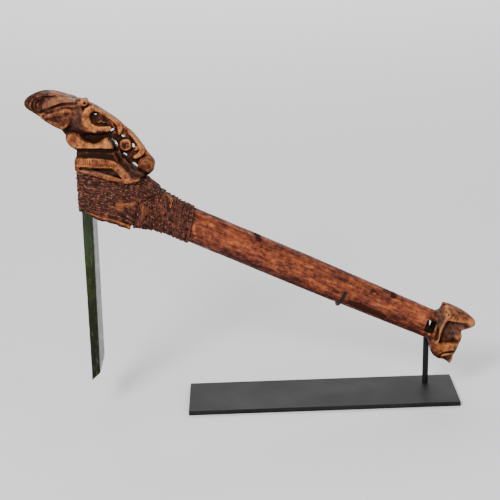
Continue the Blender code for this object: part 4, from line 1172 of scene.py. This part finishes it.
def wound_height(points):
    """A height in metres. Its level lines slope with the lower edge and fall over the heel."""
    x, z = points[:, 0], points[:, 2]
    upward_share = np.clip((z - FOOT_LOW) / FOOT_RISE, 0, 1)
    slope = LOW_SLOPE - SLOPE_LOSS * upward_share
    heel = HEEL_BEND * np.log1p(np.exp((x - HEEL_PLACE) / HEEL_BEND))
    return z + slope * (x - TOE_PLACE) + HEEL_SLOPE * heel


FOOT_SPACING, HEEL_SPACING, FOOT_CORD = 1.85 * MM, 2.2, 1.12 * MM
foot_sleeve, foot_tree, foot_outside = sleeve_of("blade_lashing", "foot sleeve")
foot_points = points_of(foot_sleeve.data)
foot_height = wound_height(foot_points)
foot_levels = np.arange(foot_height[foot_outside].min() + 1 * MM, foot_height.max(), FOOT_SPACING)
foot_bare = np.clip([wear_at(point) * 2 for point in foot_points], 0, 1)
foot_normals = normals_of(foot_sleeve.data)
over_heel = foot_outside & (foot_normals[:, 2] > 0.35) & (foot_points[:, 0] > -0.176)
heel_levels = np.arange(-11, 12, HEEL_SPACING) * MM
foot_laid = lay_cords("foot cords", foot_sleeve, foot_tree,
                      ((foot_height, foot_levels, foot_outside, 0.55 * MM),
                       (foot_points[:, 1], heel_levels, over_heel, 0.3 * MM)), is_bare, 5, FOOT_CORD)
blade_lashing = join_winding(foot_sleeve, foot_laid, foot_outside, foot_bare, "wound_foot")
print("foot lashing:", len(foot_levels), "turns,", len(blade_lashing.data.polygons), "faces")

# %% [markdown]
# The neck is bound across the shaft. The turns beside the collar lie parallel to its edge, those near
# the foot stand upright, and a few later turns cross over them at a slant.

# %% Binding of the neck
COLLAR_X, COLLAR_Z, NECK_LENGTH = -0.125, 0.1862, 0.06


def across_neck(points, tilt_at_collar, tilt_at_foot):
    x, z = points[:, 0] - COLLAR_X, points[:, 2] - COLLAR_Z
    tilt = tilt_at_foot + (tilt_at_collar - tilt_at_foot) * np.clip(1 + x / NECK_LENGTH, 0, 1)
    return x * np.cos(tilt) - z * np.sin(tilt)


NECK_EDGE = [(-0.184, 0.1821), (-0.1825, 0.1891), (-0.1775, 0.2031), (-0.1745, 0.2141), (-0.163, 0.2193),
             (-0.15, 0.2237), (-0.144, 0.2321)]
NECK_SPACING, SLANT_SPACING, NECK_CORD = 1.4 * MM, 12 * MM, 0.86 * MM
neck_sleeve, neck_tree, neck_outside = sleeve_of("neck_binding", "neck sleeve")
neck_points = points_of(neck_sleeve.data)
from_edge, _ = distance_to_line(neck_points[:, [0, 2]], NECK_EDGE)
turns_height = across_neck(neck_points, math.radians(13.3), math.radians(-3))
slant_height = across_neck(neck_points, math.radians(34), math.radians(28))
turn_levels = np.arange(turns_height.min() + 1 * MM, -0.7 * MM, NECK_SPACING)
slant_levels = np.arange(slant_height.min() + 6 * MM, slant_height.max() - 8 * MM, SLANT_SPACING)
neck_bare = np.clip([wear_at(point) * 2 for point in neck_points], 0, 1)
neck_laid = lay_cords("neck cords", neck_sleeve, neck_tree,
                      ((turns_height, turn_levels, neck_outside & (from_edge > 1.4 * MM), 0.35 * MM),
                       (from_edge, (0.3 * MM, 1.6 * MM), neck_outside, 0.15 * MM),
                       (slant_height, slant_levels, neck_outside, 0.1 * MM)), is_bare, 8, NECK_CORD)
print("neck binding:", len(turn_levels), "turns")

# %% [markdown]
# One cord ends at the front, beside a hole in the winding. Its end is frayed into three paler fibres.
# They are thin ribs laid on the sleeve by rays.

# %% Frayed end of the cord
KNOT_END = [(-0.1478, 0.2187), (-0.1446, 0.2166), (-0.1424, 0.2126), (-0.1432, 0.2074)]
cords, lobe, tones = neck_laid
knot = bmesh.new()
knot.from_mesh(cords.data)
for apart, start, reach in ((-0.7, 0, 12), (0.1, 1, 9), (0.8, 0, 7)):
    fibre = []
    for index, (x, z) in enumerate(smooth_line(KNOT_END)[start:reach]):
        spread = apart * (0.6 + 0.1 * index) * MM
        hit = neck_tree.ray_cast(Vector((x + spread, -CLEAR_OF_HAFT, z + 0.3 * spread)),
                                  Vector((0, 1, 0)))[0]
        if hit:
            fibre.append(hit - Vector((0, 0.4 * MM, 0)))
    add_to(knot, rib(bmesh.new(), fibre, np.linspace(0.75, 0.35, len(fibre)) * MM))
added = len(knot.verts) - len(lobe)
knot.to_mesh(cords.data)
knot.free()
neck_laid = (cords, np.r_[lobe, np.ones(added)], np.r_[tones, np.full(added, 2.0)])
neck_binding = join_winding(neck_sleeve, neck_laid, neck_outside, neck_bare, "wound_neck")
print("neck binding:", len(neck_binding.data.polygons), "faces, fibres", added, "points")

# %% [markdown]
# Both windings are of the same old cord. It is brown with paler lumps and strands, and each turn has a
# tone of its own. The groove between the two plies and the sleeve between the turns are darkened as
# painted shade. Bare places show orange brown wood.

# %% Cord finish
cord = Nodes("old twisted cord")
lobe_in = cord.attribute("lobe")
tone_in = cord.attribute("tone")
bare_in = cord.attribute("bare")
cord_clouds = cord.noise(cord.place(), 60, 3.0)
cord_fuzz = cord.noise(cord.place(), 900, 3.0, 0.7)
cord_lumps = cord.noise(cord.place(), 240, 2.0)
cord_strands = cord.noise(cord.place(), 480, 2.0, 0.6)
brown = cord.mix(cord.remap(cord_clouds, 0.35, 0.65), (0.056, 0.015, 0.0095), (0.1, 0.028, 0.015))
brown = cord.mix(cord.remap(cord_lumps, 0.48, 0.68, 0, 0.65), brown, (0.2, 0.066, 0.034))
brown = cord.mix(cord.remap(cord_lumps, 0.52, 0.34, 0, 0.85), brown, (0.018, 0.006, 0.0045))
brown = cord.mix(cord.remap(tone_in, 0.4, 1, 0, 0.4), brown, (0.14, 0.042, 0.023))
# Painted shade in the groove between the plies and on the sleeve between the turns.
brown = cord.mix(cord.remap(lobe_in, 0.1, 0.75), (0.012, 0.0045, 0.0035), brown)
brown = cord.mix(cord.remap(cord_strands, 0.54, 0.72, 0, 0.6), brown, (0.33, 0.14, 0.09))
brown = cord.mix(cord.remap(cord_fuzz, 0.6, 0.8, 0, 0.3), brown, (0.24, 0.09, 0.055))
brown = cord.mix(cord.remap(tone_in, 1.2, 1.8, 0, 0.75), brown, (0.36, 0.15, 0.07))
bare_wood = cord.mix(cord.remap(cord_strands, 0.3, 0.7), (0.3, 0.09, 0.028), (0.12, 0.032, 0.012))
cord.colour(cord.mix(bare_in, brown, bare_wood))
cord.roughness(cord.remap(cord_clouds, 0.3, 0.7, 0.5, 0.65))
cord.shader.inputs["Specular IOR Level"].default_value = 0.15
cord.bump(cord_strands, 0.6, 0.4 * MM)
for piece, node in ((blade_lashing, "blade_lashing"), (neck_binding, "neck_binding")):
    cord.cover(piece)
    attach(piece, "root")
    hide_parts(node)
print("cord has", len(cord.tree.nodes), "nodes")

# %% [markdown]
# The stand is blackened steel: a flat plate, a round post welded on, an arm into the slot at the butt
# and a hook under the shaft. Both solids keep their own shape and get a satin black finish with faint
# clouding and a fine grain.

# %% Stand
black = Nodes("satin black steel")
black_clouds = black.noise(black.place(), 18, 4.0)
black_grain = black.noise(black.place(), 700, 2.0)
black.colour(black.mix(black.remap(black_clouds, 0.35, 0.7), (0.007, 0.007, 0.008),
                       (0.013, 0.013, 0.014)))
black.roughness(black.remap(black_clouds, 0.3, 0.7, 0.42, 0.54))
black.shader.inputs["Specular IOR Level"].default_value = 0.12
black.bump(black_grain, 0.12, 0.15 * MM)
for node in ("stand_base", "stand_post"):
    black.cover(nodes[node])
print("stand in satin black")
